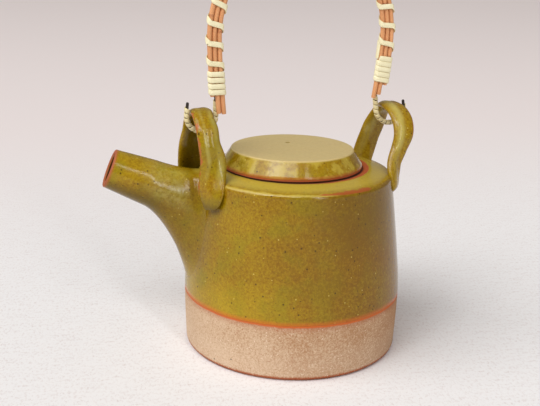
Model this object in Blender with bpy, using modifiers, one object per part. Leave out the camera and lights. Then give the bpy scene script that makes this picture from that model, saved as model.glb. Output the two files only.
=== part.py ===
"""Stoneware teapot with a lift-off lid and a bundled cane bail handle.

The pot is thrown, with a luted spout and two strap lugs. The bail is five canes bound with split cane,
and it swings on two wrapped wire hooks that hang in the lugs.
Metres, +Z up. The origin is the middle of the foot, and the spout points to -X.
"""

import math

import bmesh
import bpy
from mathutils import Vector

# Clearances and tessellation
FIT_GAP = 0.0003
OVERRUN = 0.004
MERGE = 0.00001
POT_STEPS = 48
LID_STEPS = 44
SPOUT_SIDES = 24
STRAP_SIDES = 12

# Thrown pot
FOOT_RADIUS = 0.0640
BELLY_RADIUS = 0.0650
BELLY_HEIGHT = 0.0340
BELLY_SOFTNESS = 0.0140
WALL_ROW_HEIGHTS = (0.0800, 0.0600, 0.0460, 0.0340, 0.0160)
SHOULDER_RADIUS = 0.0574
SHOULDER_HEIGHT = 0.1058
SHOULDER_CORNER = 0.0030
SEAT_RISE = 0.0022
SEAT_RADIUS = 0.0445
MOUTH_RADIUS = 0.0362
MOUTH_ROUNDING = 0.0010
WALL_THICKNESS = 0.0048
SHOULDER_THICKNESS = 0.0052
FLOOR_THICKNESS = 0.0065
FLOOR_FILLET = 0.0080
FOOT_CHAMFER = 0.0016
SEAT_HEIGHT = SHOULDER_HEIGHT + SEAT_RISE

# Holes pierced through the wall behind the spout
STRAINER_HOLE_RADIUS = 0.0023
STRAINER_PITCH = 0.0082
STRAINER_DEPTH = 0.0278
STRAINER_ROWS = (1, 2, 3, 2, 1)
STRAINER_SIDES = 10
STRAINER_HEIGHT = SHOULDER_HEIGHT - STRAINER_DEPTH

# Lid
LID_RADIUS = 0.0411
LID_TOP_RADIUS = 0.0356
LID_RIM_HEIGHT = 0.0022
LID_HEIGHT = 0.0108
LID_THICKNESS = 0.0052
LID_SKIRT_RADIUS = 0.0325
LID_SKIRT_THICKNESS = 0.0036
LID_SKIRT_DEPTH = 0.0100
LID_EDGE_ROUNDING = 0.0008
LID_OFFSET_X = -0.0022
LID_OFFSET_Y = -0.0013
STEAM_HOLE_RADIUS = 0.0016
STEAM_HOLE_SETBACK = 0.0120
STEAM_HOLE_SIDES = 12

# Spout
SPOUT_OVERHANG = 0.0506
SPOUT_MOUTH_RISE = 0.0032
SPOUT_RISE = math.radians(22.0)
SPOUT_MOUTH_RADIUS = 0.0113
SPOUT_TUBE_LENGTH = 0.0240
SPOUT_TUBE_RADIUS = 0.0134
SPOUT_WALL = 0.0029
SPOUT_LIP_ROUNDING = 0.0007
SPOUT_ROOT_DROP = 0.0598
SPOUT_ROOT_LAP = 0.0042
SPOUT_ROOT_HALF_WIDTH = 0.0180
SPOUT_ROOT_WALL = 0.0045
SPOUT_TUBE_PULL = 0.0100
SPOUT_ROOT_PULL = 0.0200
SPOUT_ROOT_LIFT = 0.0080
SPOUT_SIDE_SHARE = 0.15
SPOUT_STATIONS = 8
SPOUT_REACH = SHOULDER_RADIUS + SPOUT_OVERHANG
SPOUT_MOUTH_HEIGHT = SHOULDER_HEIGHT + SPOUT_MOUTH_RISE

# The lugs and the bail lie in a plane of their own, a little turned and moved along from the spout's.
# A pair of sizes below holds the left one and then the right one.
HANDLE_TURN = math.radians(7.5)
HANDLE_OFFSET = 0.0010

# Wire hooks, with heights above their lowest points
WIRE_RADIUS = 0.00085
HOOK_WRAP_CLEARANCE = 0.00025
HOOK_WRAP_THICKNESS = 0.0005
HOOK_WRAP_WIDTH = 0.0021
HOOK_WRAP_PITCH = 0.0030
HOOK_WRAP_POINTS = 10
HOOK_STRAP_CLEARANCES = (0.0005, 0.0013)
HOOK_DROP = 0.0105
HOOK_TIP_RISES = (0.0164, 0.0135)
HOOK_WRAP_RISE = 0.0173
HOOK_ROOT_RISE = 0.0320
HOOK_TIP_LEAN = 0.0006
HOOK_TIP_BARE = 0.0024
HOOK_BEND_POINTS = 12
HOOK_WRAP_RADIUS = WIRE_RADIUS + HOOK_WRAP_CLEARANCE + HOOK_WRAP_THICKNESS
SHANK_INSET = 0.0077
SHANK_DISTANCE = SHOULDER_RADIUS - SHANK_INSET

# Strap lugs, whose straps pass through the hooks
LUG_RISE = 0.0356
STRAP_WIDTH = 0.0126
STRAP_THICKNESS = 0.0055
STRAP_SQUARENESS = 2.3
LUG_STEPS = 3
LUG_CROWN_HEIGHT = SHOULDER_HEIGHT + LUG_RISE
HOOK_RADII = tuple(STRAP_WIDTH / 2 + HOOK_WRAP_RADIUS + clearance for clearance in HOOK_STRAP_CLEARANCES)
LUG_CENTRES = tuple(SHANK_DISTANCE + radius for radius in HOOK_RADII)
PIVOT_HEIGHT = LUG_CROWN_HEIGHT - HOOK_DROP
# The four legs: left front, left back, right front, right back. Each has its half span, the angle of
# its foot round the wall from the handle's plane, the twist of the strap on its way down, how far its
# lower end lies below the shoulder, and how far its middle stands off the wall.
LEG_HALF_SPANS = (0.0170, 0.0174, 0.0205, 0.0190)
FOOT_ANGLE_DEGREES = (20.8, 24.4, 25.6, 22.1)
FOOT_TWIST_DEGREES = (58.0, 17.2, 53.6, 53.5)
FOOT_DROPS = (0.0139, 0.0098, 0.0103, 0.0098)
FOOT_STAND_OFFS = (0.0018, 0.0040, 0.0004, 0.0001)
# Stations down a leg: share of the half span, share of the height above the foot, share of the way
# over to the foot and of its twist, share of the thickness.
LEG_SHARES = (
    (0.00, 1.00, 0.00, 1.00),
    (0.42, 0.965, 0.00, 1.00),
    (0.78, 0.860, 0.00, 1.00),
    (0.97, 0.700, 0.00, 1.00),
    (1.00, 0.520, 0.12, 1.00),
    (1.00, 0.360, 0.48, 1.00),
    (1.00, 0.200, 0.86, 0.98),
    (1.00, 0.070, 1.00, 0.80),
    (1.00, 0.000, 1.00, 0.45),
)
# How far each leg bows outward and how wide it is at the same stations, as shares of the strap's width
LEG_BOW_SHARES = (
    (0.00, 0.05, 0.00, -0.03, -0.15, -0.12, -0.02, 0.00, 0.00),
    (0.00, -0.01, 0.02, 0.02, 0.10, 0.10, 0.08, 0.04, 0.00),
    (0.00, 0.04, 0.05, -0.01, -0.18, -0.25, -0.10, 0.01, -0.08),
    (0.00, 0.09, 0.10, -0.01, -0.18, -0.16, -0.09, -0.03, 0.02),
)
LEG_WIDTH_SHARES = (
    (1.00, 0.94, 1.02, 0.98, 1.10, 1.22, 1.40, 1.30, 0.80),
    (1.00, 0.96, 1.00, 1.06, 1.17, 1.20, 1.19, 1.12, 0.99),
    (1.00, 1.05, 1.04, 0.97, 0.82, 0.89, 1.12, 1.10, 1.01),
    (1.00, 0.92, 0.94, 1.10, 1.05, 1.02, 1.04, 1.03, 0.98),
)

# Cane bail, with heights above the lowest points of the hooks, about which it swings. Each leg closes
# by its own spread on the way down from the widest place.
BAIL_SPREADS = (0.0022, 0.0034)
BAIL_SPREAD_POWER = 1.5
BAIL_WIDEST_RISE = 0.0520
BAIL_ARCH_RISE = 0.0590
BAIL_LEG_SHARE = 0.4
BAIL_HALF_WIDTH = SHANK_DISTANCE + BAIL_SPREADS[0]
CANE_RADIUS = 0.00125
CANE_SIDES_RESOLUTION = 2
CANE_POINTS = 50
# Lower ends of the five canes
CANE_END_RISES = {
    "front_outer": (0.0200, 0.0237),
    "front_middle": (0.0104, 0.0179),
    "front_inner": (0.0097, 0.0156),
    "back_outer": (0.0206, 0.0243),
    "back_inner": (0.0181, 0.0198),
}

# Split cane binding
STRIP_WIDTH = 0.0030
STRIP_THICKNESS = 0.0007
STRIP_POINTS = 16
BAND_PITCH = 0.0036
BAND_STATIONS = (46, 54)
BAND_RISES = (0.0200, 0.0247)
# The open spiral crosses the front of the bundle first on the left leg and last on the right leg
SPIRAL_FIRST_RISE = 0.0378
SPIRAL_LAST_RISE = 0.0473
SPIRAL_TURNS = 18
SPIRAL_LEAD_IN_STATIONS = 3
SPIRAL_LEAD_OUT_STATIONS = 5


def material(name, colour, roughness, metallic=0.0):
    made = bpy.data.materials.new(name)
    made.use_nodes = True
    shader = made.node_tree.nodes["Principled BSDF"]
    shader.inputs["Base Color"].default_value = (*colour, 1.0)
    shader.inputs["Roughness"].default_value = roughness
    shader.inputs["Metallic"].default_value = metallic
    return made


def start_file():
    """Empties the scene and returns the collection of parts and the collection of cutters."""
    for old in list(bpy.data.objects):
        bpy.data.objects.remove(old)
    made = []
    for name in ("teapot", "teapot_cutters"):
        collection = bpy.data.collections.new(name)
        bpy.context.scene.collection.children.link(collection)
        made.append(collection)
    return made


def add_mesh(name, vertices, faces, collection, edges=()):
    mesh = bpy.data.meshes.new(name)
    mesh.from_pydata(vertices, list(edges), faces)
    mesh.validate()
    made = bpy.data.objects.new(name, mesh)
    collection.objects.link(made)
    return made


def finish_part(part, finish):
    """Gives a part its material and smooth shading with sharp creases."""
    part.data.materials.append(finish)
    if part.type == "MESH":
        part.data.shade_smooth()
        part.data.set_sharp_from_angle(angle=math.radians(40.0))
    return part


def add_empty(name, location, turn, collection, parent=None):
    made = bpy.data.objects.new(name, None)
    collection.objects.link(made)
    made.location = location
    made.rotation_euler = (0.0, 0.0, turn)
    made.parent = parent
    return made


def as_cutter(cutter):
    cutter.hide_render = True
    cutter.display_type = "WIRE"
    return cutter


def cut(part, cutter):
    modifier = part.modifiers.new("cut_" + cutter.name, "BOOLEAN")
    modifier.operation = "DIFFERENCE"
    modifier.object = cutter


def arc(centre_r, centre_z, radius, first, last, count):
    """Points on an arc in a profile's plane, angles in degrees from +r towards +z."""
    turns = [math.radians(first + (last - first) * k / (count - 1)) for k in range(count)]
    return [(centre_r + radius * math.cos(a), centre_z + radius * math.sin(a)) for a in turns]


def turned(name, profile, steps, collection):
    """A turned solid: a profile in the XZ plane, spun about Z by a Screw modifier."""
    vertices = [(r, 0.0, z) for r, z in profile]
    edges = [(k, k + 1) for k in range(len(profile) - 1)]
    made = add_mesh(name, vertices, [], collection, edges)
    screw = made.modifiers.new("turn", "SCREW")
    screw.axis = "Z"
    screw.steps = steps
    screw.render_steps = steps
    screw.use_merge_vertices = True
    screw.merge_threshold = MERGE
    return made


def smooth_rows(rows, steps):
    """Catmull-Rom interpolation through rows of numbers."""
    made = []
    for k in range(len(rows) - 1):
        before = rows[max(k - 1, 0)]
        after = rows[min(k + 2, len(rows) - 1)]
        for step in range(steps):
            t = step / steps
            row = []
            for a, b, c, d in zip(before, rows[k], rows[k + 1], after):
                curve = 2 * b + (c - a) * t + (2 * a - 5 * b + 4 * c - d) * t**2
                curve += (3 * b - a - 3 * c + d) * t**3
                row.append(curve / 2)
            made.append(tuple(row))
    return made + [tuple(rows[-1])]


def loft(name, rings, collection, closed=False):
    """Skins rings of equal length. An open loft gets flat caps, and a closed one joins last to first."""
    sides = len(rings[0])
    vertices = [tuple(point) for ring in rings for point in ring]
    faces = []
    for k in range(len(rings) if closed else len(rings) - 1):
        here = k * sides
        there = (k + 1) % len(rings) * sides
        for j in range(sides):
            following = (j + 1) % sides
            faces.append((here + j, here + following, there + following, there + j))
    if not closed:
        faces.append(tuple(range(sides))[::-1])
        faces.append(tuple(range(len(vertices) - sides, len(vertices))))
    made = add_mesh(name, vertices, faces, collection)
    shape = bmesh.new()
    shape.from_mesh(made.data)
    bmesh.ops.recalc_face_normals(shape, faces=shape.faces)
    shape.to_mesh(made.data)
    shape.free()
    return made


def wall_radius(z):
    """Outer radius of the thrown wall at a height: a belly that eases into a straight taper."""
    if z < BELLY_HEIGHT:
        return FOOT_RADIUS + (BELLY_RADIUS - FOOT_RADIUS) * math.sin(math.pi / 2 * z / BELLY_HEIGHT)
    eased = math.hypot(z - BELLY_HEIGHT, BELLY_SOFTNESS) - BELLY_SOFTNESS
    full = math.hypot(SHOULDER_HEIGHT - SHOULDER_CORNER - BELLY_HEIGHT, BELLY_SOFTNESS) - BELLY_SOFTNESS
    return BELLY_RADIUS + (SHOULDER_RADIUS - BELLY_RADIUS) * eased / full


def outer_profile():
    """Outside of the pot from the lid seat down to the edge of the foot."""
    slope = math.degrees(math.atan2(SEAT_HEIGHT - SHOULDER_HEIGHT, SHOULDER_RADIUS - SEAT_RADIUS))
    corner = arc(
        SHOULDER_RADIUS - SHOULDER_CORNER,
        SHOULDER_HEIGHT - SHOULDER_CORNER,
        SHOULDER_CORNER,
        90.0 - slope,
        0.0,
        5,
    )
    wall = [(wall_radius(z), z) for z in WALL_ROW_HEIGHTS]
    foot = [(wall_radius(FOOT_CHAMFER), FOOT_CHAMFER), (FOOT_RADIUS - FOOT_CHAMFER, 0.0)]
    return [(SEAT_RADIUS, SEAT_HEIGHT)] + corner + wall + foot


def pot_profile():
    """Closed section of the pot: up the inside, over the mouth and down past the foot to a stub."""
    inner_belly = BELLY_RADIUS - WALL_THICKNESS
    inner_foot = wall_radius(FLOOR_THICKNESS + FLOOR_FILLET) - WALL_THICKNESS
    floor = arc(
        inner_foot - FLOOR_FILLET, FLOOR_THICKNESS + FLOOR_FILLET, FLOOR_FILLET, -90.0, 0.0, 4
    )
    under = SHOULDER_HEIGHT - SHOULDER_THICKNESS
    dome = arc(
        SHOULDER_RADIUS - WALL_THICKNESS - SHOULDER_CORNER, under - SHOULDER_CORNER,
        SHOULDER_CORNER, 0.0, 80.0, 3,
    )
    mouth = [
        (MOUTH_RADIUS + MOUTH_ROUNDING, SEAT_HEIGHT - SHOULDER_THICKNESS),
        (MOUTH_RADIUS, SEAT_HEIGHT - SHOULDER_THICKNESS + MOUTH_ROUNDING),
        (MOUTH_RADIUS, SEAT_HEIGHT - MOUTH_ROUNDING),
        (MOUTH_RADIUS + MOUTH_ROUNDING, SEAT_HEIGHT),
    ]
    inside = [(0.0, FLOOR_THICKNESS)] + floor + [(inner_belly, BELLY_HEIGHT)] + dome
    stub = [(FOOT_RADIUS - FOOT_CHAMFER, -OVERRUN), (0.0, -OVERRUN)]
    return inside + mouth + outer_profile() + stub


def envelope_profile():
    """The pot's filled outline, grown by the fitting gap, which trims what is luted to it."""
    outline = outer_profile()
    grown = []
    for k, (r, z) in enumerate(outline):
        before = outline[max(k - 1, 0)]
        after = outline[min(k + 1, len(outline) - 1)]
        along = Vector((after[0] - before[0], after[1] - before[1])).normalized()
        grown.append((r - along.y * FIT_GAP, z + along.x * FIT_GAP))
    return [(0.0, grown[0][1])] + grown + [(0.0, grown[-1][1])]


def pot_surface(length, angle):
    """A point on the outside of the pot: profile length up from the foot, angle round from -X."""
    outline = outer_profile()[::-1]
    for (r0, z0), (r1, z1) in zip(outline, outline[1:]):
        step = math.hypot(r1 - r0, z1 - z0)
        if length <= step or (r1, z1) == outline[-1]:
            share = length / step
            radius = r0 + (r1 - r0) * share
            return Vector((-radius * math.cos(angle), -radius * math.sin(angle), z0 + (z1 - z0) * share))
        length -= step
    return None


def build_pot(parts, cutters, finish):
    pot = turned("pot_body", pot_profile(), POT_STEPS, parts)
    row_step = STRAINER_PITCH * math.sin(math.radians(60.0))
    shape = bmesh.new()
    for row, count in enumerate(STRAINER_ROWS):
        z = STRAINER_HEIGHT + (row - (len(STRAINER_ROWS) - 1) / 2) * row_step
        for column in range(count):
            y = (column - (count - 1) / 2) * STRAINER_PITCH
            made = bmesh.ops.create_cone(
                shape, cap_ends=True, segments=STRAINER_SIDES,
                radius1=STRAINER_HOLE_RADIUS, radius2=STRAINER_HOLE_RADIUS,
                depth=WALL_THICKNESS + 2 * OVERRUN,
            )
            for vertex in made["verts"]:
                x, across, along = vertex.co
                vertex.co = Vector((along - wall_radius(z) + WALL_THICKNESS / 2, y + across, z + x))
    bmesh.ops.recalc_face_normals(shape, faces=shape.faces)
    mesh = bpy.data.meshes.new("strainer_drills")
    shape.to_mesh(mesh)
    shape.free()
    drills = bpy.data.objects.new("strainer_drills", mesh)
    cutters.objects.link(drills)
    cut(pot, as_cutter(drills))
    slab_half = 2 * FOOT_RADIUS
    corners = [
        (x * slab_half, y * slab_half, z)
        for z in (-2 * OVERRUN, 0.0) for x, y in ((-1, -1), (1, -1), (1, 1), (-1, 1))
    ]
    sides = [(k, (k + 1) % 4, (k + 1) % 4 + 4, k + 4) for k in range(4)]
    slab = add_mesh("foot_trimming_slab", corners, [(3, 2, 1, 0), (4, 5, 6, 7)] + sides, cutters)
    cut(pot, as_cutter(slab))
    return finish_part(pot, finish)


def build_spout(parts, cutters, envelope, finish):
    """Makes the spout and returns the cutter that trims what stands against it."""
    inward = Vector((math.cos(SPOUT_RISE), 0.0, -math.sin(SPOUT_RISE)))
    upward = Vector((math.sin(SPOUT_RISE), 0.0, math.cos(SPOUT_RISE)))
    across = Vector((0.0, -1.0, 0.0))
    mouth = Vector((-SPOUT_REACH, 0.0, SPOUT_MOUTH_HEIGHT))
    tube_end = mouth + inward * SPOUT_TUBE_LENGTH
    turns = [math.tau * k / SPOUT_SIDES for k in range(SPOUT_SIDES)]
    middle = SHOULDER_HEIGHT + (SPOUT_ROOT_LAP - SPOUT_ROOT_DROP) / 2
    half_height = (SPOUT_ROOT_LAP + SPOUT_ROOT_DROP) / 2

    def tube_ring(centre, radius):
        return [centre + (upward * math.cos(a) + across * math.sin(a)) * radius for a in turns]

    def root_point(a, inset, scale=1.0):
        length = middle + (half_height - inset) * math.cos(a) * scale
        width = (SPOUT_ROOT_HALF_WIDTH - inset) * math.sin(a) * scale
        return pot_surface(length, width / wall_radius(STRAINER_HEIGHT))

    def flare(radius, inset):
        """Rings from the end of the tube that open out and run into the wall."""
        rings = []
        for step in range(1, SPOUT_STATIONS + 1):
            t = step / SPOUT_STATIONS
            ring = []
            for a in turns:
                start = tube_end + (upward * math.cos(a) + across * math.sin(a)) * radius
                end = root_point(a, inset)
                spread = (root_point(a, inset, 1.0 + SPOUT_SIDE_SHARE) - end).normalized()
                outward = Vector((end.x, end.y, 0.0)).normalized()
                low = ((1.0 - math.cos(a)) / 2) ** 3
                share = SPOUT_SIDE_SHARE + (1.0 - SPOUT_SIDE_SHARE) * low
                first = start + inward * SPOUT_TUBE_PULL
                second = end - spread * SPOUT_ROOT_PULL * share + outward * SPOUT_ROOT_LIFT * share
                ring.append(
                    start * (1 - t) ** 3 + first * 3 * t * (1 - t) ** 2
                    + second * 3 * t**2 * (1 - t) + end * t**3
                )
            rings.append(ring)
        return rings

    def skin(radius_change):
        """Outside rings of the spout, grown by a change of radius."""
        tube_radius = SPOUT_TUBE_RADIUS + radius_change
        mouth_radius = SPOUT_MOUTH_RADIUS + radius_change
        halfway = mouth + inward * SPOUT_TUBE_LENGTH / 2
        return [
            tube_ring(mouth, mouth_radius - SPOUT_LIP_ROUNDING),
            tube_ring(mouth + inward * SPOUT_LIP_ROUNDING, mouth_radius),
            tube_ring(halfway, (mouth_radius + tube_radius) / 2),
            tube_ring(tube_end, tube_radius),
        ] + flare(tube_radius, -radius_change)

    def bury(ring):
        return [point + (heart - point).normalized() * OVERRUN for point in ring]

    bore = SPOUT_MOUTH_RADIUS - SPOUT_WALL
    heart = Vector((0.0, 0.0, STRAINER_HEIGHT))
    outside = skin(0.0)
    inside = [
        tube_ring(mouth, bore + SPOUT_LIP_ROUNDING),
        tube_ring(mouth + inward * SPOUT_LIP_ROUNDING, bore),
        tube_ring(tube_end, SPOUT_TUBE_RADIUS - SPOUT_WALL),
    ] + flare(SPOUT_TUBE_RADIUS - SPOUT_WALL, SPOUT_ROOT_WALL)
    rings = outside + [bury(outside[-1]), bury(inside[-1])] + inside[::-1]
    spout = loft("spout", rings, parts, closed=True)
    cut(spout, envelope)
    grown = skin(FIT_GAP)
    spout_envelope = as_cutter(loft("spout_envelope", grown + [bury(grown[-1])], cutters))
    finish_part(spout, finish)
    return spout_envelope


def strap_ring(centre, tangent, width_axis, width, thickness):
    """A slightly squared oval section across a strap."""
    normal = tangent.cross(width_axis).normalized()
    power = 2.0 / STRAP_SQUARENESS
    ring = []
    for k in range(STRAP_SIDES):
        a = math.tau * k / STRAP_SIDES
        u = math.copysign(abs(math.cos(a)) ** power, math.cos(a)) * width / 2
        v = math.copysign(abs(math.sin(a)) ** power, math.sin(a)) * thickness / 2
        ring.append(centre + width_axis * u + normal * v)
    return ring


def lug_leg(side, leg, way):
    """Rows down one leg of a lug: x outward, y, z, twist, width, thickness. Way is -1 for the front."""
    centre = LUG_CENTRES[side > 0]
    foot_z = SHOULDER_HEIGHT - FOOT_DROPS[leg]
    angle = math.radians(FOOT_ANGLE_DEGREES[leg])
    distance = wall_radius(foot_z) + FOOT_STAND_OFFS[leg]
    foot_x = distance * math.cos(angle) - side * HANDLE_OFFSET
    foot_y = distance * math.sin(angle)
    rows = []
    for station, (span, height, over, thickness) in enumerate(LEG_SHARES):
        x = centre + (foot_x - centre) * over + STRAP_WIDTH * LEG_BOW_SHARES[leg][station]
        y = span * LEG_HALF_SPANS[leg] + (foot_y - LEG_HALF_SPANS[leg]) * over
        z = foot_z + (LUG_CROWN_HEIGHT - foot_z) * height
        twist = way * math.radians(FOOT_TWIST_DEGREES[leg]) * over
        width = STRAP_WIDTH * LEG_WIDTH_SHARES[leg][station]
        rows.append((x, way * y, z, twist, width, STRAP_THICKNESS * thickness))
    return rows


def build_lug(name, side, legs, plane, parts, envelopes, finish):
    """A strap bent over from the front of the shoulder to the back, its feet pressed on the wall."""
    front = lug_leg(side, legs[0], -1.0)
    back = lug_leg(side, legs[1], 1.0)
    rows = smooth_rows(front[:0:-1] + back, LUG_STEPS)
    rings = []
    for k, (x, y, z, twist, width, thickness) in enumerate(rows):
        before = Vector(rows[max(k - 1, 0)][:3])
        after = Vector(rows[min(k + 1, len(rows) - 1)][:3])
        tangent = (after - before).normalized()
        across = Vector((math.cos(twist), -math.sin(twist), 0.0))
        across = (across - tangent * across.dot(tangent)).normalized()
        ring = strap_ring(Vector((x, y, z)), tangent, across, width, thickness)
        rings.append([Vector((side * p.x, p.y, p.z)) for p in ring])
    lug = loft(name, rings, parts)
    lug.parent = plane
    for envelope in envelopes:
        cut(lug, envelope)
    return finish_part(lug, finish)


def build_lid(parts, cutters, finish):
    top = LID_HEIGHT
    inner_skirt = LID_SKIRT_RADIUS - LID_SKIRT_THICKNESS
    profile = [
        (0.0, top),
        (LID_TOP_RADIUS - LID_EDGE_ROUNDING, top),
        (LID_TOP_RADIUS, top - LID_EDGE_ROUNDING),
        (LID_RADIUS, LID_RIM_HEIGHT),
        (LID_RADIUS, LID_EDGE_ROUNDING),
        (LID_RADIUS - LID_EDGE_ROUNDING, 0.0),
        (LID_SKIRT_RADIUS, 0.0),
        (LID_SKIRT_RADIUS, -LID_SKIRT_DEPTH + LID_EDGE_ROUNDING),
        (LID_SKIRT_RADIUS - LID_EDGE_ROUNDING, -LID_SKIRT_DEPTH),
        (inner_skirt + LID_EDGE_ROUNDING, -LID_SKIRT_DEPTH),
        (inner_skirt, -LID_SKIRT_DEPTH + LID_EDGE_ROUNDING),
        (inner_skirt, top - LID_THICKNESS - LID_SKIRT_THICKNESS),
        (inner_skirt - LID_SKIRT_THICKNESS, top - LID_THICKNESS),
        (0.0, top - LID_THICKNESS),
    ]
    lid = turned("lid", profile, LID_STEPS, parts)
    lid.location = (LID_OFFSET_X, LID_OFFSET_Y, SEAT_HEIGHT + FIT_GAP)
    bpy.ops.mesh.primitive_cylinder_add(
        vertices=STEAM_HOLE_SIDES,
        radius=STEAM_HOLE_RADIUS,
        depth=LID_THICKNESS + 2 * OVERRUN,
        location=(LID_OFFSET_X, LID_OFFSET_Y + STEAM_HOLE_SETBACK, SEAT_HEIGHT + top - LID_THICKNESS / 2),
    )
    drill = bpy.context.object
    drill.name = "steam_hole_drill"
    for collection in list(drill.users_collection):
        collection.objects.unlink(drill)
    cutters.objects.link(drill)
    cut(lid, as_cutter(drill))
    return finish_part(lid, finish)


class BailPath:
    """The bail's centre line above its hinge: half an ellipse on gently closing legs, by length."""

    def __init__(self, samples=600):
        self.points = []
        for k in range(samples + 1):
            self.points.append(self.outline(-1.0 + 2.0 * k / samples))
        self.lengths = [0.0]
        for a, b in zip(self.points, self.points[1:]):
            self.lengths.append(self.lengths[-1] + (b - a).length)
        crown = self.lengths[samples // 2]
        self.lengths = [length - crown for length in self.lengths]

    @staticmethod
    def outline(share):
        """Point at a share from the left foot of the bail, -1, over the crown, 0, to the right foot, 1."""
        side = math.copysign(1.0, share)
        arch_share = 1.0 - BAIL_LEG_SHARE
        if abs(share) <= arch_share:
            turn = math.pi / 2 * abs(share) / arch_share
            x = BAIL_HALF_WIDTH * math.sin(turn)
            return Vector((side * x, 0.0, BAIL_WIDEST_RISE + BAIL_ARCH_RISE * math.cos(turn)))
        depth = (abs(share) - arch_share) / BAIL_LEG_SHARE * BAIL_WIDEST_RISE
        closed = (depth / (BAIL_WIDEST_RISE - HOOK_WRAP_RISE)) ** BAIL_SPREAD_POWER
        x = BAIL_HALF_WIDTH - BAIL_SPREADS[side > 0] * closed
        return Vector((side * x, 0.0, BAIL_WIDEST_RISE - depth))

    def at(self, length):
        """Centre, tangent and outward normal at a length from the crown, negative to the left."""
        low, high = 0, len(self.lengths) - 2
        while low < high:
            middle = (low + high + 1) // 2
            if self.lengths[middle] <= length:
                low = middle
            else:
                high = middle - 1
        a, b = self.points[low], self.points[low + 1]
        share = (length - self.lengths[low]) / (self.lengths[low + 1] - self.lengths[low])
        before = self.points[max(low - 1, 0)]
        after = self.points[min(low + 2, len(self.points) - 1)]
        tangent = (after - before).normalized()
        normal = Vector((-tangent.z, 0.0, tangent.x))
        return a.lerp(b, share), tangent, normal

    def length_at_rise(self, rise, side):
        """Length along the path where a leg is so high: side -1 for the left leg, 1 for the right."""
        order = range(len(self.points) - 1)
        for k in order if side < 0 else reversed(order):
            here, there = self.points[k].z, self.points[k + 1].z
            if min(here, there) <= rise <= max(here, there):
                share = (rise - here) / (there - here)
                return self.lengths[k] + (self.lengths[k + 1] - self.lengths[k]) * share
        return 0.0


def cane_places():
    """Place of each cane in the bundle: outwards across the arch, and along Y. The wire is at zero."""
    pitch = 2 * CANE_RADIUS + FIT_GAP
    groove = math.sqrt((CANE_RADIUS + WIRE_RADIUS + FIT_GAP) ** 2 - (pitch / 2) ** 2)
    back = -groove
    front = back - pitch * math.sin(math.radians(60.0))
    return {
        "front_inner": (-pitch, front),
        "front_middle": (0.0, front),
        "front_outer": (pitch, front),
        "back_inner": (-pitch / 2, back),
        "back_outer": (pitch / 2, back),
    }


def bundle_outline(angle, clearance, with_wire):
    """Point of the string line round the bundle, where its outward direction has an angle."""
    circles = [(p, q, CANE_RADIUS) for p, q in cane_places().values()]
    if with_wire:
        circles.append((0.0, 0.0, WIRE_RADIUS))
    way = (math.cos(angle), math.sin(angle))
    p, q, radius = max(circles, key=lambda c: c[0] * way[0] + c[1] * way[1] + c[2])
    return p + (radius + clearance) * way[0], q + (radius + clearance) * way[1]


def tube(name, points, radius, resolution, hinge, parts, finish):
    """A round rod along points, as a filled and bevelled curve."""
    curve = bpy.data.curves.new(name, "CURVE")
    curve.dimensions = "3D"
    curve.bevel_depth = radius
    curve.bevel_resolution = resolution
    curve.use_fill_caps = True
    spline = curve.splines.new("POLY")
    spline.points.add(len(points) - 1)
    for place, point in zip(spline.points, points):
        place.co = (*point, 1.0)
    made = bpy.data.objects.new(name, curve)
    made.parent = hinge
    parts.objects.link(made)
    return finish_part(made, finish)


def ribbon(name, centres, outlines, half_width, thickness, hinge, parts, finish):
    """A flat strip wound round a path: at each station a centre frame and the outline point on it."""
    vertices = []
    for (centre, tangent, normal, side), (p, q) in zip(centres, outlines):
        point = centre + normal * p + side * q
        vertices += [point - tangent * half_width, point + tangent * half_width]
    faces = [(k, k + 1, k + 3, k + 2) for k in range(0, len(vertices) - 2, 2)]
    strip = add_mesh(name, [tuple(v) for v in vertices], faces, parts)
    strip.parent = hinge
    solid = strip.modifiers.new("thickness", "SOLIDIFY")
    solid.thickness = thickness
    solid.offset = 1.0
    return finish_part(strip, finish)


def least_gap(name, centres, outlines, per_turn, half_width):
    """Prints the least gap between neighbouring turns of a strip, edge to edge."""
    middle = [c + n * p + s * q for (c, t, n, s), (p, q) in zip(centres, outlines)]
    gaps = []
    for k in range(len(middle) - per_turn):
        here = middle[k] + centres[k][1] * half_width
        there = middle[k + per_turn] - centres[k + per_turn][1] * half_width
        gaps.append((there - here).length)
    if gaps:
        print(f"{name}: least gap between turns {min(gaps) * 1000:.2f} mm")


def winding(name, path, first, pitch, stations, start_station, with_wire, hinge, parts, finish):
    """Split cane wound round the bundle from a length along the bail's path, so many stations long."""
    side = Vector((0.0, 1.0, 0.0))
    slope = math.atan2(pitch, math.tau * 2 * CANE_RADIUS)
    half_width = STRIP_WIDTH / 2 / math.cos(slope / 2)
    centres, outlines = [], []
    for k in range(stations + 1):
        centre, tangent, normal = path.at(first + pitch * k / STRIP_POINTS)
        centres.append((centre, tangent, normal, side))
        angle = math.tau * (start_station + k) / STRIP_POINTS
        outlines.append(bundle_outline(angle, FIT_GAP, with_wire))
    least_gap(name, centres, outlines, STRIP_POINTS, half_width)
    return ribbon(name, centres, outlines, half_width, STRIP_THICKNESS, hinge, parts, finish)


def hook_points(path, side):
    """Centre line of a wire hook: down out of the bundle, under the strap and up outside it."""
    radius = HOOK_RADII[side > 0]
    centre = LUG_CENTRES[side > 0]
    root = path.length_at_rise(HOOK_ROOT_RISE, side)
    low = path.length_at_rise(HOOK_WRAP_RISE, side)
    rows = [path.at(root + (low - root) * k / 4)[0] for k in range(5)]
    for k in range(HOOK_BEND_POINTS + 1):
        turn = math.pi * k / HOOK_BEND_POINTS
        x = centre - radius * math.cos(turn)
        rows.append(Vector((side * x, 0.0, radius - radius * math.sin(turn))))
    tip = centre + radius - HOOK_TIP_LEAN
    rows.append(Vector((side * tip, 0.0, HOOK_TIP_RISES[side > 0])))
    return rows


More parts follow.
